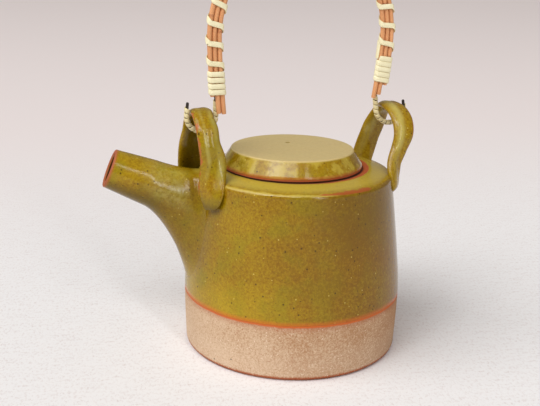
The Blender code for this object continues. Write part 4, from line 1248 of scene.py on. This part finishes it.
class Run:
    """The stations of a sweep: for each a point, the way it faces and its girth."""

    def __init__(self):
        self.points, self.ways, self.girths = [], [], []

    def add(self, point, way, girth):
        self.points.append(point)
        self.ways.append(way)
        self.girths.append(girth)

    def mesh(self):
        """A mesh of one line of edges that carries the ways and girths."""
        mesh = bpy.data.meshes.new("path")
        edges = [(k, k + 1) for k in range(len(self.points) - 1)]
        mesh.from_pydata([tuple(point) for point in self.points], edges, [])
        layer = mesh.attributes.new("facing", "FLOAT_VECTOR", "POINT")
        layer.data.foreach_set("vector", [number for way in self.ways for number in way])
        layer = mesh.attributes.new("girth", "FLOAT", "POINT")
        layer.data.foreach_set("value", self.girths)
        return mesh


def sweep_tree(name, flat):
    """Geometry nodes that sweep a round cane or a crowned strip along a path."""
    group = bpy.data.node_groups.new(name, "GeometryNodeTree")
    for label, kind in SWEEP_INPUTS.items():
        group.interface.new_socket(label, in_out="INPUT", socket_type="NodeSocket" + kind)
    group.interface.new_socket("Geometry", in_out="OUTPUT", socket_type="NodeSocketGeometry")
    tree = Tree(group)

    def attribute(kind, attribute_name):
        return tree.node("GeometryNodeInputNamedAttribute", {"data_type": kind}, {"Name": attribute_name})

    def store(kind, geometry, attribute_name, value):
        return tree.node(
            "GeometryNodeStoreNamedAttribute", {"data_type": kind, "domain": "POINT"},
            {"Geometry": geometry, "Name": attribute_name, "Value": value},
        )

    entry = group.nodes.new("NodeGroupInput")
    source = {socket.name: Value(tree, socket) for socket in entry.outputs if socket.name}
    curve = tree.node("GeometryNodeMeshToCurve", {}, (source["Path"],))
    facing = attribute("FLOAT_VECTOR", "facing")
    curve = tree.node("GeometryNodeSetCurveNormal", {"mode": "FREE"}, {"Curve": curve, "Normal": facing})
    curve = store("FLOAT", curve, "along", tree.node("GeometryNodeSplineParameter", output=1))
    sizes = {"Resolution": source["Sides"], "Radius": 1.0}
    ring = tree.node("GeometryNodeCurvePrimitiveCircle", {"mode": "RADIUS"}, sizes)
    place = tree.node("GeometryNodeInputPosition")
    ring = store("FLOAT_VECTOR", ring, "section", place)
    outward_share, across, _ = tree.parts(place)
    if flat:
        outward_share = outward_share.at_least(-0.55)
    shaped = tree.vector(outward_share * source["Half thickness"], across * source["Half width"], 0.0)
    ring = tree.node("GeometryNodeSetPosition", {}, {"Geometry": ring, "Position": shaped})
    mesh = tree.node(
        "GeometryNodeCurveToMesh", {},
        {"Curve": curve, "Profile Curve": ring, "Scale": attribute("FLOAT", "girth"), "Fill Caps": True},
    )
    mesh = tree.node("GeometryNodeSetShadeSmooth", {}, {"Geometry": mesh})
    mesh = tree.node("GeometryNodeRealizeInstances", {}, (mesh,))
    mesh = tree.node("GeometryNodeSetMaterial", {}, {"Geometry": mesh, "Material": source["Finish"]})
    tree.feed(group.nodes.new("NodeGroupOutput").inputs[0], mesh)
    return group


def sweep(name, group, run, half_width, half_thickness, sides, material):
    """Sweeps a run that is given above the bail's pivot, and returns a plain piece in its place."""
    path = run.mesh()
    carrier = make_object("path", path)
    modifier = carrier.modifiers.new("sweep", "NODES")
    modifier.node_group = group
    values = {
        "Half width": half_width, "Half thickness": half_thickness, "Sides": sides, "Finish": material
    }
    for item in group.interface.items_tree:
        if item.item_type == "SOCKET" and item.name in values:
            modifier[item.identifier] = values[item.name]
    evaluated = carrier.evaluated_get(bpy.context.evaluated_depsgraph_get())
    mesh = bpy.data.meshes.new_from_object(evaluated)
    modifier.node_group = None
    bpy.data.objects.remove(carrier)
    bpy.data.meshes.remove(path)
    outward_normals(mesh)
    mesh.transform(handle_place() @ Matrix.Translation((0.0, 0.0, settings("handle").pivot_height)))
    mesh.name = name
    dress_mesh(mesh, material)
    return make_object(name, mesh)


def wound_strip(path, first, pitch, turns, start_turn, with_wire, seed):
    """Split cane wound round the bundle; turns are counted from outwards across the arch."""
    bail = settings("bail")
    samples, spread = 28, 0.22
    clearance = bail.strip_thickness / 2 + bail.strip_gap
    run = Run()
    for k in range(round(turns * samples) + 1):
        share = k / samples
        stray = lattice_noise.noise(Vector((share * 1.3, seed * 5.1, 0.3)))
        turn = math.tau * (start_turn + share)
        corners = [bundle_outline(turn + way * spread, clearance, with_wire) for way in (-1, 0, 1)]
        p, q = (sum(numbers) / 3 for numbers in zip(*corners))
        girth = 0.985 + 0.05 * lattice_noise.noise(Vector((share * 0.9, seed * 2.3, 4.0)))
        run.add(*path.at(first + pitch * (share + stray * 0.05), p, q, turn), girth)
    return run


def hook_line(side):
    """Centre line of a hook from inside the bundle, under the strap and up to its tip."""
    bail, handle = settings("bail"), settings("handle")
    radius = handle.left_hook if side < 0 else handle.right_hook
    rise = bail.left_tip_rise if side < 0 else bail.right_tip_rise
    shank_steps, bend_steps, tip_steps = 8, 28, 6
    path = BailPath()
    root, low = path.distance_at(bail.root_rise, side), path.distance_at(bail.wrap_rise, side)
    points = [path.at(root + (low - root) * k / shank_steps)[0] for k in range(shank_steps + 1)]
    for turn in [math.pi * k / bend_steps for k in range(bend_steps + 1)]:
        x = handle.shank + radius - radius * math.cos(turn)
        points.append(Vector((side * x, 0.0, radius - radius * math.sin(turn))))
    corner = points[-1]
    tip = Vector((side * (handle.shank + 2 * radius - bail.tip_lean), 0.0, rise))
    return points + [corner.lerp(tip, k / tip_steps) for k in range(1, tip_steps + 1)]


def resample(points, spacing):
    """Evenly spaced points along a polyline, and the way it runs at each."""
    lengths = list(accumulate(((b - a).length for a, b in zip(points, points[1:])), initial=0.0))
    steps = max(round(lengths[-1] / spacing), 2)
    made = []
    for distance in [lengths[-1] * step / steps for step in range(steps + 1)]:
        k = min(max(bisect_left(lengths, distance) - 1, 0), len(points) - 2)
        share = (distance - lengths[k]) / (lengths[k + 1] - lengths[k])
        made.append(points[k].lerp(points[k + 1], min(max(share, 0.0), 1.0)))
    ways = [(made[min(k + 1, steps)] - made[max(k - 1, 0)]).normalized() for k in range(steps + 1)]
    return made, ways


# Operators

def place_piece(piece, body, slot, *nodes):
    """Rides a piece on its body, in place of its CAD nodes."""
    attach(piece, body)
    if nodes:
        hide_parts(*nodes)


class TEAPOT_OT_pot(bpy.types.Operator):
    """Makes the thrown body with its seat, mouth and strainer holes"""

    bl_idname = "teapot.pot"
    bl_label = "Pot"

    def execute(self, context):
        pot = settings("pot")
        piece = turned("Pot", pot_profile(), pot.steps, pot_finish(), pot.waver)
        row_step = pot.hole_pitch * math.sin(math.radians(60.0))
        places, middle_row = [], len(STRAINER_ROWS) // 2
        for row, holes in enumerate(STRAINER_ROWS):
            z = pot.hole_height + (row - middle_row) * row_step
            for column in range(holes):
                y = (column - (holes - 1) / 2) * pot.hole_pitch
                places.append(Vector((-wall_radius(z) + pot.wall / 2, y, z)))
        drill(piece, places, Vector((1.0, 0.0, 0.0)), pot.hole_radius, pot.wall * 2.6)
        place_piece(piece, "pot", "olive_glaze", "pot_body")
        return {"FINISHED"}


class TEAPOT_OT_spout(bpy.types.Operator):
    """Makes the spout, which flares into the wall of the pot"""

    bl_idname = "teapot.spout"
    bl_label = "Spout"

    def execute(self, context):
        piece = skin("Spout", spout_rings(), spout_finish(), closed_path=True)
        place_piece(piece, "pot", "olive_glaze", "spout")
        return {"FINISHED"}


class TEAPOT_OT_lugs(bpy.types.Operator):
    """Makes the two strap lugs"""

    bl_idname = "teapot.lugs"
    bl_label = "Lugs"

    def execute(self, context):
        finish = lug_finish()
        for label, side in SIDES.items():
            rings, marks = lug_rings(side, LUG_LEGS[label])
            piece = skin("Lug_" + label, rings, finish, marks=marks)
            place_piece(piece, "pot", "olive_glaze", "lug_" + label)
        return {"FINISHED"}


class TEAPOT_OT_lid(bpy.types.Operator):
    """Makes the lift-off lid with its skirt and steam hole"""

    bl_idname = "teapot.lid"
    bl_label = "Lid"

    def execute(self, context):
        lid = settings("lid")
        centre = (lid.offset_x, lid.offset_y)
        piece = turned("Lid", lid_profile(), lid.steps, lid_finish(), lid.waver, centre)
        middle = settings("pot").seat_height + lid.gap + lid.height - lid.thickness / 2
        place = Vector((centre[0], centre[1] + lid.hole_setback, middle))
        drill(piece, [place], Vector((0.0, 0.0, 1.0)), lid.hole_radius, lid.thickness * 3)
        place_piece(piece, "lid_body", "lid_glaze", "lid")
        return {"FINISHED"}


class TEAPOT_OT_canes(bpy.types.Operator):
    """Makes the five canes of the bail, with a slight swelling at their joints"""

    bl_idname = "teapot.canes"
    bl_label = "Canes"

    def execute(self, context):
        path = BailPath()
        group = sweep_tree("Cane sweep", flat=False)
        radius, stations = settings("bail").cane_radius, 260
        for order, (label, (p, q)) in enumerate(cane_places().items()):
            left_rise, right_rise = CANE_ENDS[label]
            first, last = path.distance_at(left_rise, -1), path.distance_at(right_rise, 1)
            run = Run()
            for k in range(stations + 1):
                distance = first + (last - first) * k / stations
                stray = lattice_noise.noise(Vector((distance * 90.0, order * 3.7, 0.5)))
                from_joint = (distance * MM + order * 17.0) % CANE_JOINT_SPACING - 15.0
                swell = math.exp(-((from_joint / 1.2) ** 2))
                end = 0.93 if k in (0, stations) else 1.0
                run.add(*path.at(distance, p, q), (0.985 + 0.025 * stray + 0.03 * swell) * end)
            finish = cane_finish("Natural cane " + label, order + 1)
            piece = sweep("Cane_" + label, group, run, radius, radius, 20, finish)
            place_piece(piece, "bail", "natural_cane", "cane_" + label)
        return {"FINISHED"}


class TEAPOT_OT_binding(bpy.types.Operator):
    """Winds the split cane round the bundle: the open spiral, the two tight bands and the tail"""

    bl_idname = "teapot.binding"
    bl_label = "Binding"

    def execute(self, context):
        bail = settings("bail")
        path = BailPath()
        group = sweep_tree("Split cane winding", flat=True)
        half_width, half_thickness = bail.strip_width / 2, bail.strip_thickness / 2

        def wind(name, run, seed, *nodes):
            finish = split_cane_finish("Split cane " + name.lower(), seed)
            piece = sweep(name, group, run, half_width, half_thickness, 14, finish)
            place_piece(piece, "bail", "split_cane", *nodes)

        first, last = path.distance_at(bail.first_rise, -1), path.distance_at(bail.last_rise, 1)
        pitch = (last - first) / bail.spiral_turns
        front_turn, lead, trail = 0.75, 0.42, 0.5
        turns = bail.spiral_turns + lead + trail
        run = wound_strip(path, first - lead * pitch, pitch, turns, front_turn - lead, False, 1)
        wind("Spiral", run, 1, "binding_spiral")
        first = path.distance_at(bail.left_band_rise, -1) + half_width
        run = wound_strip(path, first, bail.left_band_pitch, bail.left_band_turns, 0.55, True, 2)
        wind("Band_left", run, 2, "binding_band_left")
        pitch, turns = bail.right_band_pitch, bail.right_band_turns
        first = path.distance_at(bail.right_band_rise, 1) - half_width - turns * pitch
        run = wound_strip(path, first, pitch, turns, -turns - 0.1, True, 3)
        wind("Band_right", run, 3, "binding_band_right")
        wind("Tail", self.tail(path), 4)
        return {"FINISHED"}

    def tail(self, path):
        """The end of the spiral laid down along the inner front cane into the right band."""
        bail = settings("bail")
        top = path.distance_at(bail.last_rise + bail.tail_start, 1)
        bottom = path.distance_at(bail.right_band_rise + bail.tail_end, 1)
        inner_p, inner_q = cane_places()["front_inner"]
        lift = bail.cane_radius + bail.strip_thickness / 2 + bail.strip_gap
        run, steps, back_shift = Run(), 24, 0.0008
        for share in [k / steps for k in range(steps + 1)]:
            turn = math.radians(200.0 - 8.0 * share)
            p, q = inner_p + lift * math.cos(turn), inner_q + back_shift + lift * math.sin(turn)
            run.add(*path.at(top + (bottom - top) * share, p, q, turn), 0.92)
        return run


class TEAPOT_OT_hooks(bpy.types.Operator):
    """Makes the two wire hooks and winds split cane round them"""

    bl_idname = "teapot.hooks"
    bl_label = "Hooks"

    def execute(self, context):
        bail = settings("bail")
        wire, radius = wire_finish(), bail.wire_radius
        round_group = sweep_tree("Wire sweep", flat=False)
        flat_group = sweep_tree("Hook wrap winding", flat=True)
        for label, side in SIDES.items():
            points, ways = resample(hook_line(side), HOOK_SPACING)
            run = Run()
            for point, way in zip(points, ways):
                run.add(point, Vector((-way.z, 0.0, way.x)), 1.0)
            run.girths[-1] = 0.7
            piece = sweep("Hook_" + label, round_group, run, radius, radius, 14, wire)
            place_piece(piece, "bail", "black_wire", "hook_wire_" + label)
            run = self.wrap(points, ways, side)
            finish = split_cane_finish("Split cane wrap " + label, 5 + side)
            sizes = (bail.wrap_width / 2, bail.wrap_thickness / 2)
            piece = sweep("Hook_wrap_" + label, flat_group, run, *sizes, 10, finish)
            place_piece(piece, "bail", "split_cane", "hook_wrap_" + label)
        return {"FINISHED"}

    def wrap(self, points, ways, side):
        """Split cane wound round a hook from the end of the bundle almost to the hook's tip."""
        bail = settings("bail")
        below_bundle, unevenness = 0.0003, 0.00022
        total = HOOK_SPACING * (len(points) - 1)
        start = bail.root_rise - bail.wrap_rise + below_bundle
        turns = (total - bail.bare_tip - start) / bail.wrap_pitch
        run, samples = Run(), 14
        for share in [k / samples for k in range(round(turns * samples) + 1)]:
            stray = lattice_noise.noise(Vector((share * 2.1, side * 7.0, 1.0))) * unevenness
            distance = start + share * bail.wrap_pitch + stray
            index = min(distance / total * (len(points) - 1), len(points) - 1.001)
            low = int(index)
            centre = points[low].lerp(points[low + 1], index - low)
            way = ways[low].lerp(ways[low + 1], index - low).normalized()
            turn = math.tau * share
            out = Vector((-way.z, 0.0, way.x)) * math.cos(turn) + BACK * math.sin(turn)
            girth = 1.0 + 0.04 * math.sin(share * 5.3 + side)
            run.add(centre + out * (bail.wire_radius + bail.wrap_lift), out, girth)
        return run


def aimed(name, data, place, way, roll=0.0):
    """A light or the camera at a place, looking along a way."""
    made = make_object(name, data)
    made.location = place
    look = way.to_track_quat("-Z", "Y").to_matrix()
    made.rotation_euler = (look @ Matrix.Rotation(roll, 3, "Z")).to_euler()
    return made


# Each window of light: its place and aim, its width and height, and its power
WINDOWS = {
    "Window": ((-1.44, -2.28, 3.33), (0.0, 0.0, 0.09), (3.0, 1.12), 70.0),
    "Doorway": ((0.98, -3.08, 1.80), (-0.1, 0.0, 0.1), (0.3, 2.7), 29.0),
}


class TEAPOT_OT_stage(bpy.types.Operator):
    """Makes the floor, the soft lights and the camera"""

    bl_idname = "teapot.stage"
    bl_label = "Stage"

    def execute(self, context):
        stage = settings("stage")
        self.floor(stage)
        world = bpy.data.worlds.new("Soft sky")
        context.scene.world = world
        world.use_nodes = True
        background = world.node_tree.nodes["Background"]
        tree = Tree(world.node_tree)
        tree.feed(background.inputs["Color"], stage.sky_colour)
        tree.feed(background.inputs["Strength"], stage.sky_strength)
        for name, (place, aim, size, power) in WINDOWS.items():
            light = bpy.data.lights.new(name, "AREA")
            light.shape = "RECTANGLE"
            light.size, light.size_y = size
            light.energy = power
            light.color = stage.window_colour
            aimed(name, light, place, Vector(aim) - Vector(place))
        light = bpy.data.lights.new("Daylight", "SUN")
        light.energy = stage.daylight
        light.angle = math.radians(50.0)
        light.color = stage.daylight_colour
        aimed("Daylight", light, (0.0, 0.0, 0.0), Vector((0.85, 0.22, -0.9)))
        lens = bpy.data.cameras.new("Camera")
        lens.sensor_width = 36.0
        lens.lens = stage.lens
        lens.clip_start = 0.01
        place = Vector(stage.camera_place)
        camera = aimed("Camera", lens, place, Vector(stage.camera_aim) - place, stage.camera_roll)
        context.scene.camera = camera
        context.scene.view_settings.view_transform = "Standard"
        return {"FINISHED"}

    def floor(self, stage):
        """A plain pale floor with a fine weave near the pot."""
        half, z = 60.0, -0.0002
        corners = [(-half, -half, z), (half, -half, z), (half, half, z), (-half, half, z)]
        mesh = bpy.data.meshes.new("Floor")
        mesh.from_pydata(corners, [], [(0, 1, 2, 3)])
        finish = Finish("Pale floor")
        x, y = finish.x, finish.y
        weave = finish.stray(1.6, 3.0, 0.8, finish.vector(x, y * 0.6, 0.0))
        slub = finish.stray(2.4, 3.0, 0.7, finish.vector(x * 0.15, y, 0.0))
        near = finish.mix(stage.floor_colour, stage.thread_colour, (weave * 2.6 + slub).clamped())
        colour_there = finish.mix(near, stage.far_floor_colour, finish.step(y, 60.0, 700.0))
        mesh.materials.append(finish.set(Base_Color=colour_there, Roughness=0.9))
        make_object("Floor", mesh)


OPERATORS = (
    TEAPOT_OT_stage, TEAPOT_OT_pot, TEAPOT_OT_spout, TEAPOT_OT_lugs, TEAPOT_OT_lid, TEAPOT_OT_canes,
    TEAPOT_OT_binding, TEAPOT_OT_hooks,
)


class TEAPOT_PT_panel(bpy.types.Panel):
    """Lists the steps that make the teapot"""

    bl_label = "Teapot"
    bl_idname = "TEAPOT_PT_panel"
    bl_space_type = "VIEW_3D"
    bl_region_type = "UI"
    bl_category = "Teapot"

    def draw(self, context):
        for kind in OPERATORS:
            self.layout.operator(kind.bl_idname)
        for name in SETTINGS:
            group, box = settings(name), self.layout.box()
            for key in group.__annotations__:
                box.prop(group, key)


CLASSES = (*SETTINGS.values(), *OPERATORS, TEAPOT_PT_panel)


def register():
    for kind in CLASSES:
        bpy.utils.register_class(kind)
    for name, kind in SETTINGS.items():
        setattr(bpy.types.Scene, "teapot_" + name, bpy.props.PointerProperty(type=kind))


def unregister():
    for name in SETTINGS:
        delattr(bpy.types.Scene, "teapot_" + name)
    for kind in reversed(CLASSES):
        bpy.utils.unregister_class(kind)


def main():
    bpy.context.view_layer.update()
    register()
    for kind in OPERATORS:
        group, name = kind.bl_idname.split(".")
        getattr(getattr(bpy.ops, group), name)()


if __name__ == "__main__":
    main()
